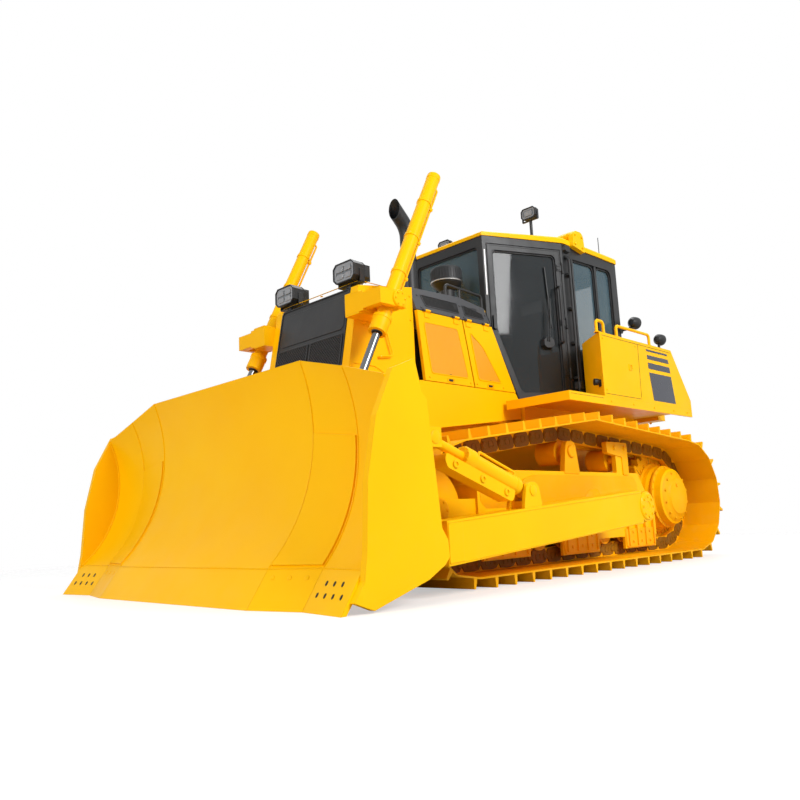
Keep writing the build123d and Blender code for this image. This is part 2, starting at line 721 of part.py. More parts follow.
# ================================================================ fenders, tank, rear
with BuildPart() as fender:
    plan = [(fender_front, fender_inner_y), (fender_front, fender_y), (fender_rear, fender_y), (fender_rear, fender_inner_y)]
    prism_z(plan, fender_top - sheet, fender_top)
    block((fender_rear, fender_front), (fender_y - sheet, fender_y), (fender_top - fender_lip, fender_top))
    block((fender_front - sheet, fender_front), (fender_inner_y, fender_y), (fender_top - fender_lip, fender_top))
with BuildPart() as tool_box:
    prism_z([(tool_box_front, fender_y), (tool_box_front - 310.0, tool_box_inner_y),
             (fender_rear, tool_box_inner_y), (fender_rear, fender_y)], fender_top, tool_box_top + 10)
    prism_y([(tool_box_front + 10, fender_top), (tool_box_front + 10, tool_box_top), (-264.0, tool_box_top),
             (fender_rear, 1550.0), (fender_rear, fender_top)], 0, fender_y, Mode.INTERSECT)
save_pair(tool_box.part, "tool_box")
save_pair(fender.part, "fender")

with BuildPart() as fuel_tank:
    prism_y([(cab_rear - 25.0, fender_top), (cab_rear - 25.0, 1990.0), (-600.0, 1960.0), (-780.0, 1800.0), (-780.0, 1400.0),
             (-625.0, 1400.0), (-625.0, fender_top)],
            -tool_box_inner_y + 10, tool_box_inner_y - 10)
save(fuel_tank.part, "fuel_tank")

drawbar_z = 560.0
drawbar_pin_station = -840.0
with BuildPart() as drawbar:
    block((-rear_reach, -620.0), (-110.0, 110.0), (drawbar_z - 40.0, drawbar_z + 200.0))
    block((-rear_reach - 10, -740.0), (-120.0, 120.0), (drawbar_z + 20.0, drawbar_z + 140.0), Mode.SUBTRACT)
    with BuildSketch(Plane.XY.offset(drawbar_z - 60)) as hitch_hole:
        with Locations((fx(drawbar_pin_station), 0)):
            Circle(32.0)
    extrude(hitch_hole.sketch, amount=400, mode=Mode.SUBTRACT)
save(drawbar.part, "drawbar")

# ================================================================ lift yokes and lift cylinders
lift_dx = rod_eye[0] - yoke[0]
lift_dz = rod_eye[1] - yoke[1]
lift_length = hypot(lift_dx, lift_dz)
down = (lift_dx / lift_length, lift_dz / lift_length)
collar_r = 78.0
collar_half = 66.0
yoke_gap = 2.0
lift_pin_r = 32.0


def along(distance):
    """Point on the lift cylinder's axis at a distance below the yoke."""
    return (yoke[0] + down[0] * distance, lift_y, yoke[1] + down[1] * distance)


with BuildPart() as lift_yoke:
    arm_in = lift_y - collar_half - yoke_gap
    arm_out = lift_y + collar_half + yoke_gap
    block((yoke[0] - 95.0, yoke[0] + 190.0), (nose_half, arm_in), (yoke[1] - 75.0, yoke[1] + 75.0))
    block((yoke[0] - 70.0, yoke[0] + 190.0), (arm_out, arm_out + 50.0), (yoke[1] - 60.0, yoke[1] + 60.0))
    block((yoke[0] + 130.0, yoke[0] + 190.0), (arm_in - 1, arm_out + 1), (yoke[1] - 60.0, yoke[1] + 60.0))
    bar_y(yoke[0], yoke[1], lift_pin_r + pin_play, arm_in - 40.0, arm_out + 60.0, Mode.SUBTRACT)
with BuildPart() as lift_yokes:
    add(lift_yoke.part)
    mirror(lift_yoke.part, about=Plane.XZ)
save(lift_yokes.part, "lift_yokes")

with BuildPart() as lift_barrel:
    bar(along(gland_reach), along(-barrel_tip_reach), barrel_r)
    bar(along(gland_reach), along(gland_reach - 110.0), barrel_r + 12.0)
    bar_y(yoke[0], yoke[1], collar_r, lift_y - collar_half, lift_y + collar_half)
    bar_y(yoke[0], yoke[1], lift_pin_r, arm_in - 38.0, arm_out + 48.0)
    bar(along(gland_reach + 5), along(-barrel_tip_reach + 60.0), rod_r + pin_play, Mode.SUBTRACT)
save_pair(lift_barrel.part, "lift_barrel")

eye_r = 55.0
eye_hole_r = 30.0
eye_half = 34.0
with BuildPart() as lift_rod:
    bar(along(gland_reach - rod_inside), along(lift_length - 30.0), rod_r)
    bar_y(rod_eye[0], rod_eye[1], eye_r, lift_y - eye_half, lift_y + eye_half)
    bar_y(rod_eye[0], rod_eye[1], eye_hole_r, lift_y - 50, lift_y + 50, Mode.SUBTRACT)
save_pair(lift_rod.part, "lift_rod")

# ================================================================ blade
edge_run = edge_height / tan(radians(edge_angle))
sections = [
    # side, upper edge (station, height), deepest point of the face, station of the lower lip
    (950.0, (4221.0, 1463.0), (4150.0, 800.0), front_reach - edge_run),
    (1340.0, (4216.0, 1362.0), (4116.0, 760.0), 4545.0 - edge_run),
    (end_plate_y, (4236.0, 1245.0), (4160.0, 700.0), 4600.0 - edge_run),
]
back_offset = 130.0


def blade_section(side, top, deep, lip):
    """Closed section of the moldboard in a plane of constant Y."""
    with BuildSketch(Plane.XZ.offset(-side)) as section:
        with BuildLine():
            face = ThreePointArc((fx(top[0]), top[1]), (fx(deep[0]), deep[1]), (fx(lip), edge_height))
            Polyline(face @ 1, (fx(lip - 120.0), edge_height - 20.0), (fx(deep[0] - back_offset), 420.0),
                     (fx(deep[0] - back_offset), 1100.0), (fx(top[0] - 45.0), top[1]), face @ 0)
        make_face()
    return section.sketch


with BuildPart() as blade:
    for side in (1, -1):
        for first, second in ((0, 1), (1, 2)):
            loft([blade_section(side * sections[i][0], *sections[i][1:]) for i in (first, second)], ruled=True)
    loft([blade_section(y, *sections[0][1:]) for y in (-sections[0][0], sections[0][0])], ruled=True)
    end_plate = [
        (4213.0, 1275.0), (4037.0, 1346.0), (3990.0, 1160.0), (3951.0, 1125.0), (3880.0, 400.0), (3835.0, 330.0),
        (3830.0, 240.0), (3870.0, 200.0), (4006.0, 130.0), (4412.0, 12.0), (4540.0, 60.0), (4471.0, 159.0),
        (4449.0, 300.0), (4425.0, 665.0), (4350.0, 1007.0),
    ]
    for side in (1, -1):
        prism_y(end_plate, *sorted((side * end_plate_y, side * (end_plate_y + end_plate_thick))))
        ear_inner = lift_y - eye_half - 30.0
        for ear in (ear_inner, lift_y + eye_half + 5.0):
            block((rod_eye[0] - 60.0, 4100.0), sorted((side * ear, side * (ear + 25.0))), (rod_eye[1] - 75.0, rod_eye[1] + 75.0))
        ears = (arm_inner_y + 11, arm_mid_y - arm_eye_half - joint_gap), (arm_mid_y + arm_eye_half + joint_gap, end_plate_y)
        for ear in ears:
            block((arm_eye[0] - 75, 4075.0), sorted((side * ear[0], side * ear[1])), (arm_eye[1] - 85, arm_eye[1] + 110))
        bar_y(arm_eye[0], arm_eye[1], arm_pin_r, *sorted((side * (arm_inner_y + 11), side * end_plate_y)))
        for ear in (tilt_y - tilt_eye_half - 25.3, tilt_y + tilt_eye_half + 0.3):
            block((tilt_high[0] - 55, 4075.0), sorted((side * ear, side * (ear + 25.0))), (tilt_high[1] - 60, tilt_high[1] + 60))
        bar_y(tilt_high[0], tilt_high[1], tilt_pin_r, *sorted((side * (tilt_y - 55), side * (tilt_y + 55))))
save(blade.part, "blade")

# Cutting edges: a long centre edge and a stepped-back one on each side.
edge_sections = [
    # inner side, outer side, tip station inside, tip station outside
    (-950.0, 950.0, front_reach, front_reach),
]


def edge_section(side, tip):
    back = edge_thick / sin(radians(edge_angle))
    with BuildSketch(Plane.XZ.offset(-side)) as section:
        with BuildLine():
            Polyline((fx(tip), 0.0), (fx(tip - edge_run), edge_height - 0.3), (fx(tip - edge_run - back), edge_height - 0.3 - 20.0),
                     (fx(tip - back), 0.0), close=True)
        make_face()
    return section.sketch


with BuildPart() as cutting_edges:
    loft([edge_section(-950.0, front_reach), edge_section(950.0, front_reach)], ruled=True)
    for side in (1, -1):
        loft([edge_section(side * 952.0, front_reach), edge_section(side * 1340.0, 4545.0)], ruled=True)
save(cutting_edges.part, "cutting_edges")
with BuildPart() as end_bits:
    for side in (1, -1):
        loft([edge_section(side * 1342.0, 4545.0), edge_section(side * (end_plate_y - 1), 4600.0)], ruled=True)
save(end_bits.part, "end_bits")

# ================================================================ push arms, tilt cylinder, brace
with BuildPart() as push_arm:
    half = arm_height / 2
    start = trunnion[0] + arm_rear_gap
    prism_y([(start, trunnion[1] - half), (arm_front[0], arm_front[1] - half),
             (arm_front[0], arm_front[1] + half), (start, trunnion[1] + half)],
            arm_inner_y, arm_inner_y + arm_width)
    bar_y(trunnion[0], trunnion[1], 120.0, arm_inner_y, arm_inner_y + arm_width)
    prism_y([(arm_front[0] - 10, arm_front[1] - 90), (arm_eye[0], arm_eye[1] - arm_eye_r + 5),
             (arm_eye[0], arm_eye[1] + arm_eye_r - 5), (arm_front[0] - 10, arm_front[1] + 90)],
            arm_mid_y - arm_eye_half, arm_mid_y + arm_eye_half)
    bar_y(arm_eye[0], arm_eye[1], arm_eye_r, arm_mid_y - arm_eye_half, arm_mid_y + arm_eye_half)
    bar_y(arm_eye[0], arm_eye[1], arm_pin_r + pin_play, arm_mid_y - 90, arm_mid_y + 90, Mode.SUBTRACT)
    slot = (arm_mid_y - tilt_eye_half - joint_gap, arm_mid_y + tilt_eye_half + joint_gap)
    block((tilt_low[0] - 70, tilt_low[0] + 70), (slot[0] - 27, slot[1] + 27), (arm_front[1], tilt_low[1] + 45))
    block((2700.0, 3200.0), slot, (tilt_low[1] - 65, tilt_low[1] + 100), Mode.SUBTRACT)
    bar_y(tilt_low[0], tilt_low[1], tilt_pin_r, slot[0] - 40, slot[1] + 40)
    bar_y(trunnion[0], trunnion[1], trunnion_pin_r + pin_play, arm_inner_y - 5, arm_inner_y + arm_width - 8, Mode.SUBTRACT)
save_pair(push_arm.part, "push_arm")

tilt_run = hypot(tilt_high[0] - tilt_low[0], tilt_high[1] - tilt_low[1])
tilt_dir = ((tilt_high[0] - tilt_low[0]) / tilt_run, (tilt_high[1] - tilt_low[1]) / tilt_run)


def tilt_point(distance, y=0.0):
    """Point on the line between the tilt cylinder's pins."""
    return (tilt_low[0] + tilt_dir[0] * distance, y, tilt_low[1] + tilt_dir[1] * distance)


def strut_eyes(y):
    """Eyes with pin holes at both ends of a strut between push arm and blade."""
    for station, z in (tilt_low, tilt_high):
        bar_y(station, z, tilt_eye_r, y - tilt_eye_half, y + tilt_eye_half)
        bar_y(station, z, tilt_pin_r + pin_play, y - 90, y + 90, Mode.SUBTRACT)


with BuildPart() as tilt_cylinder:
    bar(tilt_point(90.0, tilt_y), tilt_point(650.0, tilt_y), tilt_barrel_r)
    bar(tilt_point(640.0, tilt_y), tilt_point(tilt_run - 40.0, tilt_y), 30.0)
    bar(tilt_point(40.0, tilt_y), tilt_point(100.0, tilt_y), 30.0)
    strut_eyes(tilt_y)
save(tilt_cylinder.part, "tilt_cylinder")

with BuildPart() as blade_brace:
    bar(tilt_point(40.0, -tilt_y), tilt_point(tilt_run - 40.0, -tilt_y), 30.0)
    bar(tilt_point(120.0, -tilt_y), tilt_point(tilt_run - 120.0, -tilt_y), 46.0)
    strut_eyes(-tilt_y)
save(blade_brace.part, "blade_brace")

# ================================================================ lamps and handrails
lamps = [
    # station, Y, Z of the middle, half width, half height, depth, station and Z of the foot
    (3340.0, 352.0, 2338.0, 125.0, 76.0, 140.0, 3290.0, 2254.3),
    (1020.0, 560.0, 3400.0, 82.0, 58.0, 80.0, 1020.0, cab_top + roof_thick),
    (-420.0, 1060.0, 2225.0, 70.0, 60.0, 120.0, -420.0, 1846.2),
]
with BuildPart() as work_lamps:
    for side in (1, -1):
        for station, y, z, half_w, half_h, depth, foot, foot_z in lamps:
            block((station - depth / 2, station + depth / 2), sorted((side * (y - half_w), side * (y + half_w))),
                  (z - half_h, z + half_h))
            bar((foot, side * y, foot_z), (foot, side * y, z - half_h + 5), 16.0)
save(work_lamps.part, "work_lamps")

hoops = [
    # rear station, front station, Y, height above the box
    (970.0, 1090.0, 1215.0, 115.0),
    (110.0, 740.0, 1215.0, 115.0),
]
rail_r = 14.0
with BuildPart() as handrails:
    for side in (1, -1):
        for rear, front, y, height in hoops:
            with BuildSketch(Plane(origin=(fx(rear), side * y, tool_box_top), z_dir=(0, 0, 1))) as tube:
                Circle(rail_r)
            with BuildLine() as path:
                FilletPolyline((fx(rear), side * y, tool_box_top), (fx(rear), side * y, tool_box_top + height),
                               (fx(front), side * y, tool_box_top + height), (fx(front), side * y, tool_box_top), radius=35.0)
            sweep(tube.sketch, path=path.line)
save(handrails.part, "handrails")
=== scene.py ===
import bpy
import bmesh
import json
import math
from mathutils import Matrix, Vector


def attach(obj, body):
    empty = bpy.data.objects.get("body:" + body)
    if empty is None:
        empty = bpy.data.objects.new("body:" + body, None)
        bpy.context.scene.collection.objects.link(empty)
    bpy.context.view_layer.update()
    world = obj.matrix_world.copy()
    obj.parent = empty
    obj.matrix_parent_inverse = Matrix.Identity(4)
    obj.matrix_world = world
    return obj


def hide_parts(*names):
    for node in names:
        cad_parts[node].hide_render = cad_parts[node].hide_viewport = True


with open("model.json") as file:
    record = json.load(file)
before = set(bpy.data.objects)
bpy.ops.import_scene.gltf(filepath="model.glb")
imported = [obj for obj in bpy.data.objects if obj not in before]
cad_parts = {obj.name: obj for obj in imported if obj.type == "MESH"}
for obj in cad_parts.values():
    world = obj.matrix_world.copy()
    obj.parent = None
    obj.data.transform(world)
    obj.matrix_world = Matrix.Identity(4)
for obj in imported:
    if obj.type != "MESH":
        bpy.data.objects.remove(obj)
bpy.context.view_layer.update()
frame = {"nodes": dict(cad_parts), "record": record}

scene = bpy.context.scene
axleX = -1.8635                      # X of the sprocket axle; stations are counted forward of it
bothSides = ((1, "left"), (-1, "right"))


def fx(station):
    # station in millimetres forward of the sprocket axle -> X in metres
    return axleX + station / 1000


# ---- materials: every finish starts from the same few layers ----
finishes = {
    "yellowPaint": {"color": (1.0, 0.54, 0.0), "variant": (0.98, 0.50, 0.0), "rough": (0.34, 0.46),
                    "coat": 0.02, "specular": 0.10, "grain": 260, "grainDepth": 0.00025, "dust": 0.01},
    # undercarriage copy of the yellow paint: darker and more orange as painted shade, with more real dust
    "trackPaintDustAndShade": {"color": (0.98, 0.48, 0.0), "variant": (0.90, 0.41, 0.0), "rough": (0.42, 0.56),
                   "coat": 0.0, "specular": 0.12, "grain": 150, "grainDepth": 0.0006, "dust": 0.06},
    "blackPaint": {"color": (0.013, 0.014, 0.015), "variant": (0.019, 0.020, 0.022), "rough": (0.36, 0.5),
                   "coat": 0.0, "specular": 0.3, "grain": 320, "grainDepth": 0.0003, "dust": 0.06},
    "greyPaint": {"color": (0.040, 0.042, 0.046), "variant": (0.055, 0.057, 0.062), "rough": (0.42, 0.58),
                  "coat": 0.0, "grain": 420, "grainDepth": 0.0006, "dust": 0.06},
    "enginePaint": {"color": (0.16, 0.16, 0.155), "variant": (0.11, 0.11, 0.11), "rough": (0.5, 0.7),
                    "coat": 0.0, "grain": 90, "grainDepth": 0.001, "dust": 0.1},
    "rubber": {"color": (0.012, 0.012, 0.013), "variant": (0.02, 0.02, 0.021), "rough": (0.55, 0.75),
               "coat": 0.0, "grain": 500, "grainDepth": 0.0003, "dust": 0.1},
    "plainSteel": {"color": (0.45, 0.44, 0.42), "variant": (0.36, 0.35, 0.34), "rough": (0.25, 0.4),
                   "coat": 0.0, "grain": 300, "grainDepth": 0.0002, "dust": 0.0, "metallic": 1.0},
    # yellow-painted links drawn dark brown-orange: the colour is painted shade, the dust on it is real
    "linkYellowPaintedShade": {"color": (0.30, 0.13, 0.004), "variant": (0.20, 0.085, 0.004), "rough": (0.45, 0.62),
                  "coat": 0.0, "specular": 0.15, "grain": 150, "grainDepth": 0.0006, "dust": 0.06},
    "meshPaint": {"color": (0.040, 0.042, 0.045), "variant": (0.030, 0.031, 0.034), "rough": (0.4, 0.55),
                  "coat": 0.0, "grain": 420, "grainDepth": 0.0003, "dust": 0.0},
    # near black: painted shade in the grille's back, the vent windows and the end bits' slots; the real dark
    # of the box and sprocket seams
    "jointsAndPaintedShade": {"color": (0.004, 0.004, 0.004), "variant": (0.008, 0.008, 0.008), "rough": (0.7, 0.85),
                "coat": 0.0, "grain": 420, "grainDepth": 0.0002, "dust": 0.0},
    "stripePaint": {"color": (0.010, 0.013, 0.026), "variant": (0.014, 0.017, 0.030), "rough": (0.22, 0.32),
                    "coat": 0.3, "grain": 400, "grainDepth": 0.0001, "dust": 0.03},
    "paleTrim": {"color": (0.75, 0.76, 0.77), "variant": (0.66, 0.67, 0.68), "rough": (0.3, 0.4),
                 "coat": 0.2, "grain": 400, "grainDepth": 0.0001, "dust": 0.03},
}
dustColor = (0.62, 0.50, 0.33)
edgeRadius = 0.004                   # softened look of every sheared edge


def nodeTree(name):
    material = bpy.data.materials.new(name)
    material.use_nodes = True
    tree = material.node_tree
    shader = tree.nodes["Principled BSDF"]
    place = tree.nodes.new("ShaderNodeTexCoord")
    return material, tree, shader, place.outputs["Object"]


def addNoise(tree, place, scale, detail=3.0, rough=0.5):
    noise = tree.nodes.new("ShaderNodeTexNoise")
    noise.inputs["Scale"].default_value = scale
    noise.inputs["Detail"].default_value = detail
    noise.inputs["Roughness"].default_value = rough
    tree.links.new(place, noise.inputs["Vector"])
    return noise.outputs["Fac"]


def addRange(tree, value, fromLow, fromHigh, toLow, toHigh):
    mapper = tree.nodes.new("ShaderNodeMapRange")
    limits = {"From Min": fromLow, "From Max": fromHigh, "To Min": toLow, "To Max": toHigh}
    for socket, number in limits.items():
        mapper.inputs[socket].default_value = number
    tree.links.new(value, mapper.inputs["Value"])
    return mapper.outputs["Result"]


def addMix(tree, factor, first, second):
    # first and second are colours or output sockets
    mix = tree.nodes.new("ShaderNodeMix")
    mix.data_type = "RGBA"
    tree.links.new(factor, mix.inputs["Factor"])
    for socket, source in ((mix.inputs[6], first), (mix.inputs[7], second)):
        if isinstance(source, tuple):
            socket.default_value = (*source, 1.0)
        else:
            tree.links.new(source, socket)
    return mix.outputs[2]


def addMath(tree, operation, first, second):
    node = tree.nodes.new("ShaderNodeMath")
    node.operation = operation
    for socket, source in ((node.inputs[0], first), (node.inputs[1], second)):
        if isinstance(source, (int, float)):
            socket.default_value = source
        else:
            tree.links.new(source, socket)
    return node.outputs[0]


def addBump(tree, shader, height, depth):
    # rounds the sheared edges, then lays the grain over them
    edges = tree.nodes.new("ShaderNodeBevel")
    edges.samples = 3
    edges.inputs["Radius"].default_value = edgeRadius
    bump = tree.nodes.new("ShaderNodeBump")
    bump.inputs["Strength"].default_value = 0.5
    bump.inputs["Distance"].default_value = depth
    tree.links.new(height, bump.inputs["Height"])
    tree.links.new(edges.outputs["Normal"], bump.inputs["Normal"])
    tree.links.new(bump.outputs["Normal"], shader.inputs["Normal"])
    return edges.outputs["Normal"]


def heightAboveGround(tree):
    geometry = tree.nodes.new("ShaderNodeNewGeometry")
    split = tree.nodes.new("ShaderNodeSeparateXYZ")
    tree.links.new(geometry.outputs["Position"], split.inputs["Vector"])
    return split.outputs["Z"]


def makeFinish(name, finish):
    material, tree, shader, place = nodeTree(name)
    shader.inputs["Metallic"].default_value = finish.get("metallic", 0.0)
    shader.inputs["Coat Weight"].default_value = finish["coat"]
    shader.inputs["Coat Roughness"].default_value = 0.08
    shader.inputs["Specular IOR Level"].default_value = finish.get("specular", 0.4)
    broad = addNoise(tree, place, 1.4, 4.0)
    patches = addRange(tree, broad, 0.35, 0.7, 0.0, 1.0)
    color = addMix(tree, patches, finish["color"], finish["variant"])
    if finish["dust"]:
        # a little dry dust, more of it low down
        low = addRange(tree, heightAboveGround(tree), 0.0, 1.1, 1.0, 0.15)
        specks = addRange(tree, addNoise(tree, place, 9.0, 6.0, 0.65), 0.48, 0.72, 0.0, finish["dust"])
        color = addMix(tree, addMath(tree, "MULTIPLY", low, specks), color, dustColor)
    tree.links.new(color, shader.inputs["Base Color"])
    worn = addRange(tree, addNoise(tree, place, 5.5, 4.0), 0.3, 0.7, *finish["rough"])
    tree.links.new(worn, shader.inputs["Roughness"])
    grain = addNoise(tree, place, finish["grain"], 2.0)
    addBump(tree, shader, grain, finish["grainDepth"])
    return material


glasses = {
    "tintedGlass": {"tint": (0.10, 0.17, 0.21), "variant": (0.13, 0.21, 0.25), "alpha": (0.36, 0.44),
                    "shine": 0.3},
    "doorGlass": {"tint": (0.018, 0.022, 0.024), "variant": (0.028, 0.033, 0.036), "alpha": (0.80, 0.88),
                  "shine": 0.25},
}


def makeGlass(name, glass):
    material, tree, shader, place = nodeTree(name)
    film = addNoise(tree, place, 2.2, 3.0)
    tree.links.new(addMix(tree, film, glass["tint"], glass["variant"]), shader.inputs["Base Color"])
    tree.links.new(addRange(tree, film, 0.3, 0.7, *glass["alpha"]), shader.inputs["Alpha"])
    tree.links.new(addRange(tree, film, 0.3, 0.7, 0.02, 0.05), shader.inputs["Roughness"])
    shader.inputs["Specular IOR Level"].default_value = glass["shine"]
    return material


def makeChrome():
    material, tree, shader, place = nodeTree("chromeRod")
    shader.inputs["Metallic"].default_value = 1.0
    film = addNoise(tree, place, 4.0, 3.0)
    tree.links.new(addMix(tree, film, (0.20, 0.21, 0.22), (0.12, 0.125, 0.13)), shader.inputs["Base Color"])
    tree.links.new(addRange(tree, film, 0.3, 0.7, 0.10, 0.2), shader.inputs["Roughness"])
    addBump(tree, shader, addNoise(tree, place, 700, 1.0), 0.00005)
    return material


def makeCloth():
    material, tree, shader, place = nodeTree("seatCloth")
    weave = tree.nodes.new("ShaderNodeTexWave")
    weave.inputs["Scale"].default_value = 180
    weave.inputs["Distortion"].default_value = 1.5
    tree.links.new(place, weave.inputs["Vector"])
    color = addMix(tree, addNoise(tree, place, 30, 4.0), (0.018, 0.018, 0.02), (0.04, 0.04, 0.044))
    tree.links.new(color, shader.inputs["Base Color"])
    fuzz = addRange(tree, addNoise(tree, place, 60), 0.3, 0.7, 0.75, 0.92)
    tree.links.new(fuzz, shader.inputs["Roughness"])
    shader.inputs["Sheen Weight"].default_value = 0.3
    addBump(tree, shader, weave.outputs["Fac"], 0.0008)
    return material


def makeLens():
    # clear ribbed lens, bright where it catches the sky
    material, tree, shader, place = nodeTree("lampLens")
    film = addNoise(tree, place, 26.0, 2.0)
    tree.links.new(addMix(tree, film, (0.30, 0.31, 0.33), (0.12, 0.13, 0.14)), shader.inputs["Base Color"])
    tree.links.new(addRange(tree, film, 0.3, 0.7, 0.06, 0.14), shader.inputs["Roughness"])
    shader.inputs["Coat Weight"].default_value = 1.0
    ribs = tree.nodes.new("ShaderNodeTexWave")
    ribs.inputs["Scale"].default_value = 60
    tree.links.new(place, ribs.inputs["Vector"])
    addBump(tree, shader, ribs.outputs["Fac"], 0.0008)
    return material


def makePerforated():
    # yellow sheet with rows of small round holes, drawn on the side's X and Z; the holes are coloured dark
    # orange as painted shade
    material, tree, shader, place = nodeTree("perforatedPaint")
    split = tree.nodes.new("ShaderNodeSeparateXYZ")
    flat = tree.nodes.new("ShaderNodeCombineXYZ")
    tree.links.new(place, split.inputs["Vector"])
    tree.links.new(split.outputs["X"], flat.inputs["X"])
    tree.links.new(split.outputs["Z"], flat.inputs["Y"])
    holes = tree.nodes.new("ShaderNodeTexVoronoi")
    holes.voronoi_dimensions = "2D"
    holes.inputs["Scale"].default_value = 110.0
    holes.inputs["Randomness"].default_value = 0.0
    tree.links.new(flat.outputs["Vector"], holes.inputs["Vector"])
    inside = addRange(tree, holes.outputs["Distance"], 0.24, 0.32, 1.0, 0.0)
    paint = addMix(tree, addNoise(tree, place, 3.0), (0.93, 0.43, 0.003), (0.84, 0.37, 0.002))
    # inside the holes the colour turns dark orange, painted shade, and the surface is rougher and sunk
    tree.links.new(addMix(tree, inside, paint, (0.42, 0.18, 0.003)), shader.inputs["Base Color"])
    tree.links.new(addRange(tree, inside, 0.0, 1.0, 0.36, 0.8), shader.inputs["Roughness"])
    addBump(tree, shader, addMath(tree, "SUBTRACT", 1.0, inside), 0.002)
    return material


materials = {name: makeFinish(name, finish) for name, finish in finishes.items()}
materials.update({name: makeGlass(name, glass) for name, glass in glasses.items()})
materials["chromeRod"] = makeChrome()
materials["seatCloth"] = makeCloth()
materials["lampLens"] = makeLens()
materials["lampReflector"] = makeChrome()
materials["perforatedPaint"] = makePerforated()
print("materials made:", len(materials))

slotFinish = {
    "yellow_paint": "yellowPaint", "track_paint": "trackPaintDustAndShade", "black_paint": "blackPaint",
    "grey_paint": "greyPaint", "engine_paint": "enginePaint", "chrome_rod": "chromeRod",
    "tinted_glass": "tintedGlass", "seat_cloth": "seatCloth",
}


def dressFrame():
    # each solid takes the finish that its record names
    slots = {part["node"]: part["material_slot"] for part in frame["record"]["subparts"]}
    for node, body in frame["nodes"].items():
        body.data.materials.clear()
        finish = "doorGlass" if node.startswith("door_glass") else slotFinish[slots[node]]
        body.data.materials.append(materials[finish])


dressFrame()
print("frame dressed")


# ---- shape building: outlines are in millimetres on a plane given by its origin and two directions ----
foreDir, leftDir, upDir = Vector((1, 0, 0)), Vector((0, 1, 0)), Vector((0, 0, 1))


def at(station, y, z):
    return Vector((fx(station), y / 1000, z / 1000))


def plane(station, y, z, u, v, out):
    return at(station, y, z), u.normalized(), v.normalized(), out.normalized()


def sidePlane(y, side=1):
    # stations across, heights up, outwards on the given side; stations are counted from the axle
    return at(0, side * y, 0), foreDir, upDir, leftDir * side


def onPlane(place, u, v, out=0.0):
    origin, across, up, away = place
    return origin + (across * u + up * v + away * out) / 1000


def addSlab(shape, place, outline, low, high, taper=0.0):
    # prism of an outline; taper draws its outer face in towards the middle by that many millimetres
    midU = sum(u for u, v in outline) / len(outline)
    midV = sum(v for u, v in outline) / len(outline)
    bottom, top = [], []
    for u, v in outline:
        reach = math.hypot(u - midU, v - midV) or 1.0
        share = 1 - taper / reach
        drawnIn = onPlane(place, midU + (u - midU) * share, midV + (v - midV) * share, high)
        bottom.append(shape.verts.new(onPlane(place, u, v, low)))
        top.append(shape.verts.new(drawnIn))
    shape.faces.new(bottom)
    shape.faces.new(top)
    for i in range(len(outline)):
        j = (i + 1) % len(outline)
        shape.faces.new((bottom[i], bottom[j], top[j], top[i]))


def rectangle(u1, v1, u2, v2, corner=0.0):
    # corners of a rectangle, cut off at 45 degrees where a corner size is given
    if not corner:
        return [(u1, v1), (u2, v1), (u2, v2), (u1, v2)]
    return [(u1 + corner, v1), (u2 - corner, v1), (u2, v1 + corner), (u2, v2 - corner),
            (u2 - corner, v2), (u1 + corner, v2), (u1, v2 - corner), (u1, v1 + corner)]


def inset(outline, amount):
    # outline moved inwards by the same amount all round
    area = sum(a[0] * b[1] - b[0] * a[1] for a, b in zip(outline, outline[1:] + outline[:1]))
    sign = 1 if area > 0 else -1
    moved = []
    for before, here, after in zip(outline[-1:] + outline[:-1], outline, outline[1:] + outline[:1]):
        first = Vector((here[0] - before[0], here[1] - before[1])).normalized()
        second = Vector((after[0] - here[0], after[1] - here[1])).normalized()
        normalA, normalB = Vector((-first.y, first.x)) * sign, Vector((-second.y, second.x)) * sign
        middle = (normalA + normalB) / (1 + normalA.dot(normalB))
        moved.append((here[0] + middle.x * amount, here[1] + middle.y * amount))
    return moved


def addFrameRing(shape, place, outline, width, low, high):
    # flat frame that follows an outline, of the given width inwards
    inner = inset(outline, width)
    rows = []
    for ring, out in ((outline, low), (outline, high), (inner, high), (inner, low)):
        rows.append([shape.verts.new(onPlane(place, u, v, out)) for u, v in ring])
    for row, nextRow in zip(rows, rows[1:] + rows[:1]):
        for i in range(len(outline)):
            j = (i + 1) % len(outline)
            shape.faces.new((row[i], row[j], nextRow[j], nextRow[i]))


def addLathe(shape, origin, axis, profile, sides=32, hollow=False):
    # profile rows are radius and distance along the axis, in millimetres; a hollow one closes on itself
    axis = axis.normalized()
    across = axis.orthogonal().normalized()
    other = axis.cross(across)
    rings = []
    for radius, along in profile:
        center = origin + axis * along / 1000
        if radius == 0:
            rings.append([shape.verts.new(center)])
            continue
        ring = []
        for i in range(sides):
            angle = 2 * math.pi * i / sides
            spoke = across * math.cos(angle) + other * math.sin(angle)
            ring.append(shape.verts.new(center + spoke * radius / 1000))
        rings.append(ring)
    for ring, following in zip(rings, rings[1:] + rings[:1] if hollow else rings[1:]):
        for i in range(sides):
            j = (i + 1) % sides
            if len(ring) == 1 and len(following) == 1:
                continue
            if len(ring) == 1:
                shape.faces.new((ring[0], following[i], following[j]))
            elif len(following) == 1:
                shape.faces.new((ring[i], ring[j], following[0]))
            else:
                shape.faces.new((ring[i], ring[j], following[j], following[i]))
    for ring in (rings[0], rings[-1]):
        if len(ring) > 1 and not hollow:
            shape.faces.new(ring)


def addBolt(shape, point, out, radius=14.0, height=10.0):
    # washer and hexagon head
    washer, washerTop = radius * 1.25, height * 0.25
    addLathe(shape, point, out, [(washer, -1.0), (washer, washerTop), (0, washerTop)], 12)
    head = [(radius, 0.0), (radius, height * 0.85), (radius * 0.8, height), (0, height)]
    addLathe(shape, point, out, head, 6)


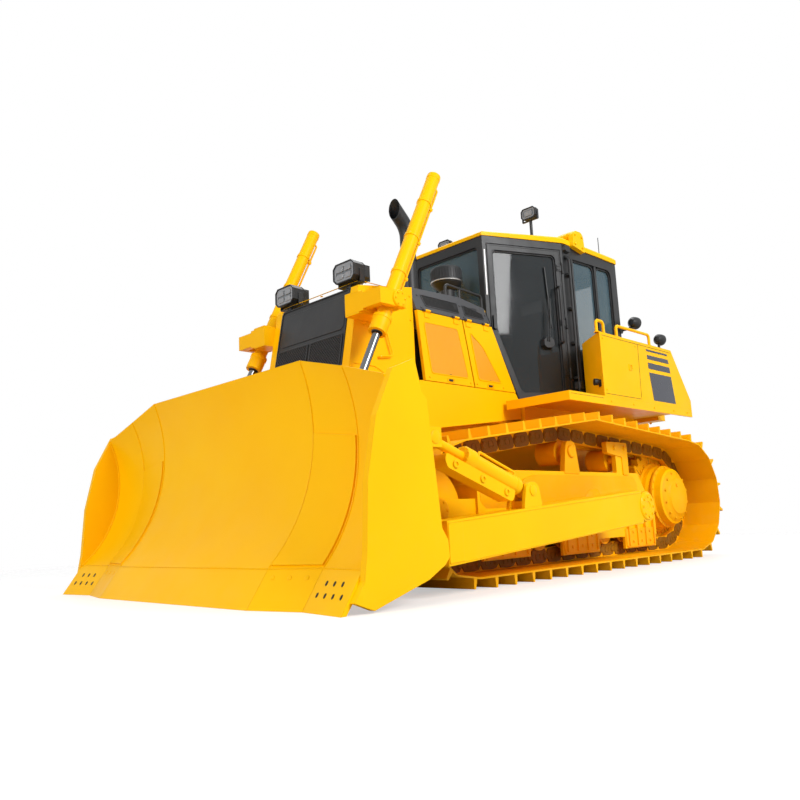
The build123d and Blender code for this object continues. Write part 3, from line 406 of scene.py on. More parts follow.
def addBoltRing(shape, center, out, radius, count, bolt, raised=0.0, first=0.0, across=foreDir, up=upDir):
    # bolts evenly round a centre; first is the share of a step that the first one is turned by
    for k in range(count):
        angle = 2 * math.pi * (k + first) / count
        spoke = across * math.cos(angle) + up * math.sin(angle)
        addBolt(shape, center + (spoke * radius + out * raised) / 1000, out, *bolt)


def curve(first, middle, last, steps):
    # points of the short curve that rounds a corner
    shares = [i / steps for i in range(steps + 1)]
    return [first * (1 - t) ** 2 + middle * 2 * t * (1 - t) + last * t ** 2 for t in shares]


def smoothPath(corners, bend, steps=6):
    # corners of a path with its bends rounded, bend in millimetres
    path = [corners[0]]
    for before, here, after in zip(corners, corners[1:], corners[2:]):
        toBefore, toAfter = before - here, after - here
        reach = min(bend / 1000, toBefore.length * 0.49, toAfter.length * 0.49)
        first, last = here + toBefore.normalized() * reach, here + toAfter.normalized() * reach
        path += curve(first, here, last, steps)
    return path + [corners[-1]]


def addTube(shape, path, radius, sides=10):
    # closed round tube along a path of points
    before = None
    rings = []
    for i, point in enumerate(path):
        ahead = (path[min(i + 1, len(path) - 1)] - path[max(i - 1, 0)]).normalized()
        across = before - ahead * before.dot(ahead) if before else ahead.orthogonal()
        before = across.normalized()
        other = ahead.cross(before)
        rings.append([shape.verts.new(point + (before * math.cos(a) + other * math.sin(a)) * radius / 1000)
                      for a in (2 * math.pi * k / sides for k in range(sides))])
    for ring, following in zip(rings, rings[1:]):
        for i in range(sides):
            j = (i + 1) % sides
            shape.faces.new((ring[i], ring[j], following[j], following[i]))
    shape.faces.new(rings[0])
    shape.faces.new(rings[-1])


def roundCorners(outline, radius, steps=5):
    # outline with each corner replaced by a short curve
    rounded = []
    for before, here, after in zip(outline[-1:] + outline[:-1], outline, outline[1:] + outline[:1]):
        b, h, a = Vector(before), Vector(here), Vector(after)
        reach = min(radius, (b - h).length * 0.45, (a - h).length * 0.45)
        first, last = h + (b - h).normalized() * reach, h + (a - h).normalized() * reach
        rounded += [tuple(point) for point in curve(first, h, last, steps)]
    return rounded


def addCorners(shape, place, outline, radius, low, high, steps=5):
    # fillets that fill the sharp corners of an opening
    for before, here, after in zip(outline[-1:] + outline[:-1], outline, outline[1:] + outline[:1]):
        b, h, a = Vector(before), Vector(here), Vector(after)
        first, last = h + (b - h).normalized() * radius, h + (a - h).normalized() * radius
        edge = [tuple(point) for point in curve(first, h, last, steps)]
        for start, end in zip(edge, edge[1:]):
            addSlab(shape, place, [tuple(h), start, end], low, high)


def addRounding(piece, width):
    rounding = piece.modifiers.new("rounding", "BEVEL")
    rounding.width = width / 1000
    rounding.segments = 3
    rounding.limit_method = "ANGLE"
    rounding.angle_limit = math.radians(40)


def addPiece(name, shape, finish, body, replaced=(), soften=0.0, smoothAngle=35.0):
    # turns a shape into a piece that rides on a body
    bmesh.ops.recalc_face_normals(shape, faces=shape.faces)
    mesh = bpy.data.meshes.new(name)
    shape.to_mesh(mesh)
    shape.free()
    piece = bpy.data.objects.new(name, mesh)
    scene.collection.objects.link(piece)
    mesh.materials.append(materials[finish])
    mesh.shade_smooth()
    mesh.set_sharp_from_angle(angle=math.radians(smoothAngle))
    if soften:
        addRounding(piece, soften)
    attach(piece, body)
    if replaced:
        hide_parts(*replaced)
    return piece


# ---- sizes that the pieces seat on, as the solids have them ----
halfGauge = 1025.0
hoodHalf = 560.0
nose = {"front": 3316.0, "high": 2240.0, "lean": 0.19, "half": 520.0, "topSlope": 0.153}
noseUp = Vector((-nose["lean"], 0, 1)).normalized()
noseOut = Vector((1, 0, nose["lean"])).normalized()


def noseX(z):
    return nose["front"] + (nose["high"] - z) * nose["lean"]


def nosePlane(z):
    # plane on the leaning front of the nose; across is to the left and up runs with the lean
    return at(noseX(z), 0, z), leftDir, noseUp, noseOut


# ---- front grille: heights are counted up the lean from its foot ----
grille = {
    "foot": 1500.0, "low": 26.0, "high": 385.0, "half": 412.0, "bar": 13.0, "corner": 14.0, "rim": 12.0,
    "border": (-436.0, 4.0, 436.0, 748.0), "panel": (-405.0, 415.0, 405.0, 700.0),
    "meshPitch": 26.0, "wire": 5.0, "meshMargin": 8.0,
}


def addMesh(shape, place, window, pitch, wire, low, high):
    # two crossing sets of slanted wires inside a rectangle
    u1, v1, u2, v2 = window
    half = wire / 2
    for lean in (1, -1):
        for i in range(int((u2 - u1 + v2 - v1) / pitch) + 1):
            # where the slanted line u = u1 + offset + t, v = v1 + t meets the rectangle
            offset = i * pitch - (v2 - v1)
            tLow, tHigh = max(0.0, -offset), min(v2 - v1, u2 - u1 - offset)
            if tHigh - tLow < wire * 2:
                continue
            ends = [(u1 + offset + t, v1 + t if lean > 0 else v2 - t) for t in (tLow, tHigh)]
            (ua, va), (ub, vb) = ends
            strip = [(ua - half, va), (ua + half, va), (ub + half, vb), (ub - half, vb)]
            addSlab(shape, place, strip, low, high)


def makeGrille():
    face = nosePlane(grille["foot"])
    rim, wires, back = bmesh.new(), bmesh.new(), bmesh.new()
    margin, half = grille["meshMargin"], grille["half"] - 4
    for side in (1, -1):
        u1, u2 = sorted((side * grille["bar"], side * grille["half"]))
        window = rectangle(u1, grille["low"], u2, grille["high"], grille["corner"])
        addFrameRing(rim, face, window, grille["rim"], 0.0, 9.0)
        woven = (u1 + margin, grille["low"] + margin, u2 - margin, grille["high"] - margin)
        addMesh(wires, face, woven, grille["meshPitch"], grille["wire"], 2.0, 6.0)
    addFrameRing(rim, face, rectangle(*grille["border"], 24.0), 10.0, 0.0, 7.0)
    addSlab(rim, face, rectangle(*grille["panel"], 26.0), 0.0, 6.0, 6.0)
    # dark sheet behind the grille wires: painted shade of the space behind them
    addSlab(back, face, rectangle(-half, grille["low"] + 4, half, grille["high"] - 4), -2.0, 1.0)
    addPiece("grilleFrame", rim, "blackPaint", "tractor", soften=2.0)
    addPiece("grilleMesh", wires, "meshPaint", "tractor")
    addPiece("grillePaintedShade", back, "jointsAndPaintedShade", "tractor")


# ---- work lamps: head lamps on the nose, roof lamps and rear lamps ----
squareLamps = [
    # lens and foot are places: station, Y, Z; half is half the width and half the height
    {"lens": (3345.0, 385.0, 2372.0), "half": (124.0, 80.0), "depth": 190.0, "columns": 2,
     "foot": (3268.0, 2250.0)},
    {"lens": (1062.0, 560.0, 3400.0), "half": (84.0, 57.0), "depth": 86.0, "columns": 1,
     "foot": (1020.0, 3138.0)},
]
roundLamps = [
    {"lens": (-478.0, 1060.0, 2222.0), "radius": 60.0, "foot": (-418.0, 1060.0, 1845.0)},
    {"lens": (-262.0, 905.0, 2405.0), "radius": 66.0, "foot": (-130.0, 800.0, 2330.0)},
]
lampShape = {"lip": 9.0, "fins": 5, "lensMargin": 30.0, "lensFoot": 22.0,
             "squareStalk": 15.0, "roundStalk": 13.0}


def addSquareLamp(housing, lens, inner, side, lamp):
    station, y, z = lamp["lens"]
    halfW, halfH = lamp["half"]
    depth, columns, (foot, footZ) = lamp["depth"], lamp["columns"], lamp["foot"]
    face = plane(station, side * y, z, leftDir, upDir, foreDir)
    outline = rectangle(-halfW, -halfH, halfW, halfH, halfH * 0.42)
    addSlab(housing, face, inset(outline, 3.0), -depth * 0.62, -14.0, -3.0)
    addSlab(housing, face, outline, -depth * 0.62, -depth, halfH * 0.35)
    addFrameRing(housing, face, outline, lampShape["lip"], -22.0, 0.0)
    for k in range(lampShape["fins"]):
        across = (k * 0.35 - 0.7) * halfW
        fin = rectangle(across - 4, -halfH * 0.8, across + 4, halfH * 0.8)
        addSlab(housing, face, fin, -depth - 8, -depth * 0.6)
    addFrameRing(lens, face, inset(outline, lampShape["lip"]), halfH * 0.3, -8.0, -7.0)
    addSlab(inner, face, inset(outline, lampShape["lip"] + 0.5), -14.0, -9.0)
    margin, rowHigh = lampShape["lensMargin"], halfH - lampShape["lensFoot"]
    width = (halfW - margin) * 2 / columns
    for column in range(columns):
        for row in range(2 if columns > 1 else 1):
            u, v = margin - halfW + column * width, (row - 1) * rowHigh
            high = v + rowHigh * (1 if columns > 1 else 2) - 8
            addSlab(lens, face, rectangle(u + 7, v + 6, u + width - 7, high, 8.0), -9.0, -2.0, 3.0)
    # stalk and fork
    stand = at(foot, side * y, footZ)
    addTube(housing, [stand, at(foot, side * y, z - halfH - 8)], lampShape["squareStalk"])
    addLathe(housing, stand, upDir, [(38, 0), (38, 8), (20, 14), (0, 14)], 20)
    forkParts = [rectangle(end, -halfH - 12, end + 6, 14, 2.0) for end in (-halfW - 6, halfW)]
    forkParts.append(rectangle(-halfW - 6, -halfH - 16, halfW + 6, -halfH - 8))
    for part in forkParts:
        addSlab(housing, face, part, -depth * 0.55, -depth * 0.3)


def addRoundLamp(housing, lens, side, lamp):
    (station, y, z), radius, (footStation, footY, footZ) = lamp["lens"], lamp["radius"], lamp["foot"]
    point, foot = at(station, side * y, z), at(footStation, side * footY, footZ)
    shell = [(0, -105), (radius * 0.5, -100), (radius * 0.92, -60), (radius, -8), (radius, 0),
             (radius - 9, 0), (radius - 10, -6), (0, -6)]
    addLathe(housing, point, -foreDir, shell, 28)
    addLathe(lens, point, -foreDir, [(radius - 11, -5), (radius * 0.5, 4), (0, 6)], 28)
    knee, top = at(station + 60, side * y, footZ + 20), at(station + 60, side * y, z - radius + 4)
    addTube(housing, smoothPath([foot, knee, top], 20), lampShape["roundStalk"])
    addLathe(housing, foot, upDir if footY == y else leftDir * side, [(34, 0), (34, 8), (0, 10)], 20)


def makeWorkLamps():
    housing, lens, inner = bmesh.new(), bmesh.new(), bmesh.new()
    for side in (1, -1):
        for lamp in squareLamps:
            addSquareLamp(housing, lens, inner, side, lamp)
        for lamp in roundLamps:
            addRoundLamp(housing, lens, side, lamp)
    addPiece("lampHousings", housing, "blackPaint", "tractor", ("work_lamps",))
    addPiece("lampLenses", lens, "lampLens", "tractor")
    addPiece("lampReflectors", inner, "lampReflector", "tractor")


# ---- lift cylinders: distances along are counted from the yoke towards the rod's eye ----
lift = {
    "y": 785.0, "yoke": (3266.0, 2045.0), "eye": (3895.0, 800.0), "tip": -1301.0, "gland": 276.0,
    "clamps": (-1000.0, -640.0, -280.0), "glandBolts": 8, "capBolts": 6,
}
liftPipe = {"radius": 9.0, "rear": 78.0, "from": -1210.0, "to": -95.0}
liftLength = math.dist(lift["yoke"], lift["eye"])
liftDown = Vector(((lift["eye"][0] - lift["yoke"][0]) / liftLength, 0,
                   (lift["eye"][1] - lift["yoke"][1]) / liftLength))
liftRear = Vector((liftDown.z, 0, -liftDown.x))


def onLift(side, along, rear=0.0, out=0.0):
    base = at(lift["yoke"][0], side * lift["y"], lift["yoke"][1])
    return base + (liftDown * along + liftRear * rear + leftDir * side * out) / 1000


def makeLiftFittings(side, name):
    fittings, seal = bmesh.new(), bmesh.new()
    # oil pipe up the rear of the barrel, with its clamps
    low, high, rear = liftPipe["to"], liftPipe["from"], liftPipe["rear"]
    run = [onLift(side, high, 40.0), onLift(side, high, rear), onLift(side, low, rear),
           onLift(side, low, 96.0, 40.0)]
    addTube(fittings, smoothPath(run, 40), liftPipe["radius"], 12)
    for along in lift["clamps"]:
        band = [(54, 0), (61, 2), (61, 26), (54, 28)]
        addLathe(fittings, onLift(side, along - 14), liftDown, band, 32, hollow=True)
        ear = (onLift(side, along), liftRear, liftDown, leftDir * side)
        addSlab(fittings, ear, rectangle(50, -14, 92, 14, 3.0), -13.0, 13.0)
    # closed end, gland and its bolts
    cap = [(30, 0), (46, 2), (57, 12), (57, 44), (55, 46)]
    addLathe(fittings, onLift(side, lift["tip"] - 1), liftDown, cap, 32)
    gland = [(56, -30), (72, -26), (72, 0), (68, 4), (68, 98), (62, 113), (34, 114), (34, 111), (56, 110)]
    addLathe(fittings, onLift(side, lift["gland"] - 112), liftDown, gland, 32, hollow=True)
    addBoltRing(fittings, onLift(side, lift["gland"] - 138), -liftDown, 60.0, lift["glandBolts"], (7.0, 9.0),
                first=0.5, across=liftRear, up=leftDir)
    addPiece("liftFittings" + name.capitalize(), fittings, "yellowPaint", "lift_barrel_" + name)
    lip = [(44, 0), (40, 8), (32, 9), (32, 0)]
    addLathe(seal, onLift(side, lift["gland"]), liftDown, lip, 32, hollow=True)
    addPiece("liftSeal" + name.capitalize(), seal, "rubber", "lift_barrel_" + name)


def makeYokeCaps(side, name):
    yoke = bmesh.new()
    station, z = lift["yoke"]
    facing, wall = leftDir * side, nose["half"] + 1
    cap = at(station, side * (lift["y"] + 122), z)
    addLathe(yoke, cap, facing, [(66, -4), (66, 4), (60, 10), (0, 10)], 36)
    addBoltRing(yoke, cap, facing, 47.0, lift["capBolts"], (8.0, 8.0), raised=9.0)
    # ribs and plate that carry the yoke off the nose
    for up in (-1, 1):
        rib = plane(station - 95, side * wall, z + up * 75, foreDir, facing, upDir * up)
        addSlab(yoke, rib, [(0, 0), (285, 0), (285, 150), (180, 190), (0, 60)], 0.0, 12.0)
    footPlate = rectangle(station - 130, 1930, station + 30, 2190, 24.0)
    addSlab(yoke, sidePlane(wall, side), footPlate, 0.0, 12.0, 4.0)
    addPiece("yokeCaps" + name.capitalize(), yoke, "yellowPaint", "tractor", soften=2.0)


# ---- exhaust pipe, air intake and the rail beside them ----
exhaust = {
    "station": 2490.0, "y": 270.0, "radius": 67.0, "wall": 5.0, "foot": 2340.0,
    "bendAt": 2888.0, "bendR": 200.0, "turn": 46.0, "bendSteps": 8, "outlet": 0.12, "sides": 32,
}
intake = {"station": 1930.0, "y": 205.0, "foot": 2374.0, "drumR": 143.0, "ribs": 36}
hoodRail = {"y": 440.0, "path": [(2225, 2378), (2225, 2476), (1735, 2456), (1735, 2330)], "post": 2040}


def makeExhaust():
    pipe = bmesh.new()
    # pipe with a bend forward and an upright outlet
    station, y, bendR, sides = exhaust["station"], exhaust["y"], exhaust["bendR"], exhaust["sides"]
    path = [at(station, y, exhaust["foot"]), at(station, y, exhaust["bendAt"])]
    turn = math.radians(exhaust["turn"])
    for k in range(1, exhaust["bendSteps"] + 1):
        angle = turn * k / exhaust["bendSteps"]
        ahead, rise = bendR * (1 - math.cos(angle)), bendR * math.sin(angle)
        path.append(at(station + ahead, y, exhaust["bendAt"] + rise))
    path.append(path[-1] + Vector((math.sin(turn), 0, math.cos(turn))) * exhaust["outlet"])
    walls = []
    for inner in (0.0, exhaust["wall"]):
        radius = (exhaust["radius"] - inner) / 1000
        loops = []
        for i, point in enumerate(path):
            ahead = (path[min(i + 1, len(path) - 1)] - path[max(i - 1, 0)]).normalized()
            across = ahead.cross(leftDir).normalized()
            loop = []
            for k in range(sides):
                angle = 2 * math.pi * k / sides
                vert = point + (leftDir * math.cos(angle) + across * math.sin(angle)) * radius
                if i == len(path) - 1:
                    vert += ahead * ((point.x - vert.x) / ahead.x)        # the outlet is cut upright
                loop.append(pipe.verts.new(vert))
            loops.append(loop)
        walls.append(loops)
    joined = [pair for loops in walls for pair in zip(loops, loops[1:])]
    joined += [(walls[0][end], walls[1][end]) for end in (0, -1)]
    for a, b in joined:
        for k in range(sides):
            j = (k + 1) % sides
            pipe.faces.new((a[k], a[j], b[j], b[k]))
    addLathe(pipe, path[0], upDir, [(68, 10), (92, 10), (92, 22), (86, 26), (68, 26)], 36)
    addLathe(pipe, path[0], upDir, [(68, 330), (72, 332), (72, 350), (68, 352)], 36)
    addPiece("exhaustPipe", pipe, "blackPaint", "tractor", ("exhaust_stack",))


def makeIntake():
    drum, rim, rail = bmesh.new(), bmesh.new(), bmesh.new()
    base = at(intake["station"], intake["y"], intake["foot"])
    bowl = [(0, 0), (74, 0), (74, 10), (66, 14), (66, 150), (120, 190), (140, 214), (132, 224), (128, 238)]
    lid = [(128, 236), (144, 240), (144, 346), (136, 360), (120, 366), (40, 370), (36, 382), (0, 384)]
    for profile in (bowl, lid):
        addLathe(drum, base, upDir, profile, 48)
    for k in range(intake["ribs"]):
        angle = 2 * math.pi * k / intake["ribs"]
        out = foreDir * math.cos(angle) + leftDir * math.sin(angle)
        face = (base + out * intake["drumR"] / 1000, upDir, out.cross(upDir), out)
        addSlab(drum, face, rectangle(250, -3, 336, 3), 0.0, 4.0)
    addPiece("intakeDrum", drum, "blackPaint", "tractor", ("precleaner",))
    addLathe(rim, base, upDir, [(128, 222), (147, 224), (149, 230), (147, 236), (128, 238)], 48)
    addPiece("intakeRim", rim, "plainSteel", "tractor")
    y, post = hoodRail["y"], hoodRail["post"]
    addTube(rail, smoothPath([at(station, y, z) for station, z in hoodRail["path"]], 40), 13.0, 12)
    addTube(rail, [at(post, y, 2370), at(post, y, 2468)], 11.0)
    addPiece("hoodRail", rail, "blackPaint", "tractor")


# ---- engine doors, vent strips and side panels ----
doorPanels = {
    # outline of the recessed, perforated field on each door: station and height
    "front": [(2120.0, 1624.0), (2588.0, 1624.0), (2655.0, 2050.0), (2232.0, 2050.0)],
    "rear": [(1668.0, 1626.0), (1992.0, 1626.0), (2078.0, 2052.0), (1900.0, 1930.0)],
}
doorParts = {"corner": 34.0, "rim": 9.0, "latchLow": 1572.0, "latchHigh": 1606.0, "latchHalf": 46.0}


def makeEngineDoor(side, name, which, outline):
    body, ending = "engine_door_" + which + "_" + name, which.capitalize() + name.capitalize()
    face, field = sidePlane(hoodHalf, side), roundCorners(outline, doorParts["corner"])
    middle, half = sum(u for u, v in outline[:2]) / 2, doorParts["latchHalf"]
    rim, holes, latch = bmesh.new(), bmesh.new(), bmesh.new()
    addFrameRing(rim, face, field, doorParts["rim"], 0.0, 5.0)
    # latch with its handle near the lower edge
    recess = rectangle(middle - half, doorParts["latchLow"], middle + half, doorParts["latchHigh"], 6.0)
    addFrameRing(rim, face, recess, 5.0, 0.0, 4.0)
    for u in (outline[0][0] - 20, outline[1][0] + 20):
        addBolt(rim, onPlane(face, u, 1592.0), leftDir * side, 8.0, 6.0)
    addPiece("doorRim" + ending, rim, "yellowPaint", body, soften=1.5)
    addSlab(holes, face, inset(field, 8.0), -1.0, 1.5)
    addPiece("doorMesh" + ending, holes, "perforatedPaint", body)
    addSlab(latch, face, rectangle(middle - 26, 1580, middle + 26, 1597, 4.0), 0.0, 5.0, 2.0)
    addSlab(latch, face, rectangle(middle - 9, 1632, middle + 9, 1640, 2.0), 0.0, 3.0)
    addPiece("doorLatch" + ending, latch, "blackPaint", body)


vent = {
    "foot": 2141.0, "top": 2375.0, "run": 90.0, "slats": 8, "slatPitch": 13.0,
    "bolts": [(1800.0, 110.0), (2130.0, 150.0), (2660.0, 150.0)],
    # lower rear, lower front, upper front, upper rear: station and distance up the slope
    "windows": [
        [(2175.0, 50.0), (2600.0, 50.0), (2622.0, 168.0), (2155.0, 170.0)],
        [(1838.0, 50.0), (2108.0, 50.0), (2088.0, 168.0), (1838.0, 118.0)],
    ],
}


def makeVents():
    frames, wires, shadeSheets = bmesh.new(), bmesh.new(), bmesh.new()
    rise = Vector((0, -vent["run"], vent["top"] - vent["foot"])).normalized()
    for side in (1, -1):
        up, out = Vector((0, rise.y * side, rise.z)), Vector((0, rise.z * side, -rise.y))
        face = at(0, side * hoodHalf, vent["foot"]), foreDir, up, out
        for window in vent["windows"]:
            outline = roundCorners(window, 16.0)
            addFrameRing(frames, face, outline, 7.0, 0.0, 6.0)
            # dark sheet inside each window: painted shade behind the slats
            addSlab(shadeSheets, face, inset(outline, 6.0), -1.0, 1.0)
            for k in range(1, vent["slats"] + 1):
                v = window[0][1] + k * vent["slatPitch"]
                rear = window[3][0] + (14 if v < 112 else 60)
                addSlab(wires, face, rectangle(rear, v - 2.0, window[1][0] - 8, v + 2.0), 1.0, 4.0)
        for station, high in vent["bolts"]:
            addBolt(frames, onPlane(face, station, 28.0), out, 9.0, 7.0)
            addBolt(frames, onPlane(face, station, high), out, 9.0, 7.0)
    addPiece("ventFrames", frames, "greyPaint", "tractor", soften=1.5)
    addPiece("ventSlats", wires, "blackPaint", "tractor")
    addPiece("ventPaintedShade", shadeSheets, "jointsAndPaintedShade", "tractor")


noseParts = {
    "cover": [(3170.0, 1640.0), (3010.0, 1560.0), (2960.0, 1400.0), (2960.0, 1130.0)],
    "coverLow": 1130.0, "coverHigh": 1640.0, "boss": (3240.0, 1490.0),
    "rearBolts": (1250.0, 1650.0, 2050.0, 2250.0),
    "pipe": [(3060, 1900, 8), (3060, 1900, 26), (3000, 1720, 26), (3140, 1700, 26), (3140, 1700, 8)],
    "caps": (1980.0, 1700.0),
}


def makeNoseDetail():
    trim, caps = bmesh.new(), bmesh.new()
    for side in (1, -1):
        face, facing = sidePlane(nose["half"], side), leftDir * side
        # curved cover plate below the yoke, boss, bolts along the rear edge and a steel pipe
        cover = [(noseX(z), z) for z in (noseParts["coverLow"], noseParts["coverHigh"])] + noseParts["cover"]
        addFrameRing(trim, face, roundCorners(inset(cover, 12.0), 40.0), 6.0, 0.0, 5.0)
        addLathe(trim, onPlane(face, *noseParts["boss"]), facing, [(66, 0), (66, 6), (58, 9), (0, 9)], 28)
        for z in noseParts["rearBolts"]:
            addBolt(trim, onPlane(face, 2762.0, z), facing, 9.0, 7.0)
        addBolt(trim, onPlane(face, 3210.0, 1760.0), facing, 12.0, 9.0)
        addTube(trim, smoothPath([onPlane(face, *point) for point in noseParts["pipe"]], 30), 7.0)
        for z in noseParts["caps"]:
            addLathe(caps, onPlane(face, 3262.0, z, 1.0), facing, [(15, 0), (15, 3), (8, 4), (0, 4)], 20)
    # strap across the nose's top with its bolts
    top = plane(3000.0, 0, 2286.0, foreDir, leftDir, Vector((nose["topSlope"], 0, 1)))
    addFrameRing(trim, top, rectangle(-230, -500, 285, 500, 26.0), 8.0, 0.0, 4.0)
    for u in (-200.0, 250.0):
        for v in (-470.0, 0.0, 470.0):
            addBolt(trim, onPlane(top, u, v), top[3], 10.0, 7.0)
    addPiece("noseTrim", trim, "yellowPaint", "tractor", soften=1.5)
    addPiece("noseCaps", caps, "blackPaint", "tractor")


# ---- cab ----
cab = {
    "pillar": (885.0, 800.0), "front": 1680.0, "frontHalf": 450.0, "rear": -230.0, "side": 800.0,
    "sideWindow": [(-20.0, 2060.0), (760.0, 2000.0), (760.0, 2930.0), (-20.0, 2960.0)],
    "sidePanes": [
        [(304.0, 2034.0), (760.0, 2000.0), (760.0, 2930.0), (304.0, 2948.0)],
        [(-20.0, 2060.0), (268.0, 2038.0), (268.0, 2949.0), (-20.0, 2960.0)],
    ],
    "windscreen": (-390.0, 2330.0, 390.0, 2960.0), "rearWindow": (-520.0, 2080.0, 520.0, 2930.0),
}
doorLength = math.hypot(cab["front"] - cab["pillar"][0], cab["pillar"][1] - cab["frontHalf"])
doorOutline = [(30.0, 1506.0), (doorLength - 275, 1506.0), (doorLength - 45, 2130.0),
               (doorLength - 45, 2980.0), (30.0, 2980.0)]
cabDoor = {
    "frame": 55.0, "corner": 60.0,
    # paths and outlines on the door: distance from its hinge, height, distance out
    "handle": [(92, 2050, 0), (92, 2050, 50), (92, 2600, 50), (92, 2600, 0)],
    "wiperArms": [([(235, 2060, 30), (205, 2380, 34), (196, 2480, 26)], 6.0),
                  ([(255, 2060, 30), (216, 2480, 26)], 4.0)],
    "wiperBlade": [(168, 2200), (180, 2200), (214, 2800), (202, 2800)],
    "hinges": (1760.0, 2250.0, 2800.0),
}


def doorPlane(side):
    # plane of a cab door: across runs from its hinge to the front
    station, y = cab["pillar"]
    across = Vector((cab["front"] - station, side * (cab["frontHalf"] - y), 0)).normalized()
    out = Vector((-across.y, across.x, 0)) * side
    return at(station, side * y, 0), across, upDir, out


def makeCabDoor(side, name):
    face, body = doorPlane(side), "cab_door_" + name
    opening = inset(doorOutline, cabDoor["frame"])
    fittings, seal = bmesh.new(), bmesh.new()
    addCorners(fittings, face, opening, cabDoor["corner"], -60.0, 0.0)
    addFrameRing(fittings, face, roundCorners(inset(doorOutline, 4.0), 20.0), 10.0, 0.0, 3.0)
    # grab handle, latch, wiper with its motor
    addTube(fittings, smoothPath([onPlane(face, *point) for point in cabDoor["handle"]], 40), 12.0, 12)
    addSlab(fittings, face, rectangle(doorLength - 96, 2150, doorLength - 58, 2290, 8.0), 0.0, 22.0, 6.0)
    addSlab(fittings, face, rectangle(170, 1990, 300, 2110, 30.0), -24.0, 24.0, 12.0)
    for path, radius in cabDoor["wiperArms"]:
        addTube(fittings, [onPlane(face, *point) for point in path], radius)
    addSlab(fittings, face, cabDoor["wiperBlade"], -22.0, -6.0)
    for z in cabDoor["hinges"]:
        for u in (50.0, 72.0):
            for v in (z - 16, z + 16):
                addBolt(fittings, onPlane(face, u, v, 8), face[3], 6.0, 5.0)
    addPiece("doorFittings" + name.capitalize(), fittings, "blackPaint", body, soften=1.5)
    addFrameRing(seal, face, roundCorners(opening, cabDoor["corner"]), 14.0, -26.0, -14.0)
    addPiece("doorSeal" + name.capitalize(), seal, "rubber", body)


grabRails = {"stations": (846.0, 806.0), "low": 1530, "high": 2930, "off": 46,
             "brackets": (1720.0, 2060.0, 2400.0, 2740.0)}
stepLamp = {"place": (1057.0, 1190.0, 1600.0), "slant": (370.0, -310.0),
            "shell": [(12, 0), (26, 8), (31, 26), (31, 52), (25, 54), (0, 50)]}
roofBracket = {
    "outline": [(534.0, 3012.0), (759.0, 3046.0), (742.0, 3180.0), (700.0, 3224.0), (590.0, 3228.0),
                (548.0, 3190.0)],
    "bolts": ((580.0, 3060.0), (710.0, 3080.0), (590.0, 3170.0), (700.0, 3175.0)),
}
aerial = {"foot": (-180, 600, 3135), "tip": (-180, 600, 3430),
          "base": [(22, 0), (22, 10), (10, 36), (5, 38)]}


def addCabSide(black, seals, pale, brackets, side):
    face = sidePlane(cab["side"], side)
    addCorners(black, face, cab["sideWindow"], 90.0, -60.0, 0.0)
    addSlab(black, face, [(268, 2035), (304, 2033), (304, 2950), (268, 2950)], -58.0, -4.0)
    for pane in cab["sidePanes"]:
        addFrameRing(seals, face, roundCorners(pane, 90.0), 15.0, -30.0, -16.0)
    # twin grab rails on the pillar behind the door, with their brackets
    low, high, off = grabRails["low"], grabRails["high"], grabRails["off"]
    for u in grabRails["stations"]:
        path = [onPlane(face, u, low), onPlane(face, u, low + 30, off), onPlane(face, u, high - 40, off),
                onPlane(face, u, high)]
        addTube(black, smoothPath(path, 30), 13.0, 12)
    for z in grabRails["brackets"]:
        addSlab(black, face, rectangle(788, z - 14, 864, z + 14, 4.0), 0.0, 44.0)
    addSlab(black, face, rectangle(792, 1600, 860, 1690, 12.0), 0.0, 70.0, 8.0)
    # roof cable cover that runs over the pillar
    addSlab(black, face, rectangle(780, 2968, 880, 3040, 16.0), 0.0, 34.0, 8.0)
    # step lamp on the box's slanted front
    (station, y, z), (slantX, slantY) = stepLamp["place"], stepLamp["slant"]
    slant = Vector((slantX, slantY * side, 0.0)).normalized()
    foot = (at(station, side * y, z), upDir.cross(slant), upDir, slant)
    addSlab(black, foot, rectangle(-24, -44, 24, 20, 6.0), 0.0, 8.0)
    addLathe(black, onPlane(foot, 0, 0, 6), slant, stepLamp["shell"], 28)
    # pale strip on the front pillar
    addSlab(pale, doorPlane(side), rectangle(doorLength - 26, 2480, doorLength - 12, 2920, 3.0), 0.0, 3.0)
    # guard bracket that ties the roof down, and its arm
    addSlab(brackets, face, roundCorners(roofBracket["outline"], 24.0), 2.0, 50.0, 6.0)
    addSlab(brackets, sidePlane(660.0, side), rectangle(560, 3138, 735, 3215, 26.0), 0.0, 150.0)
    for u, v in roofBracket["bolts"]:
        addBolt(brackets, onPlane(face, u, v, 50), leftDir * side, 13.0, 10.0)


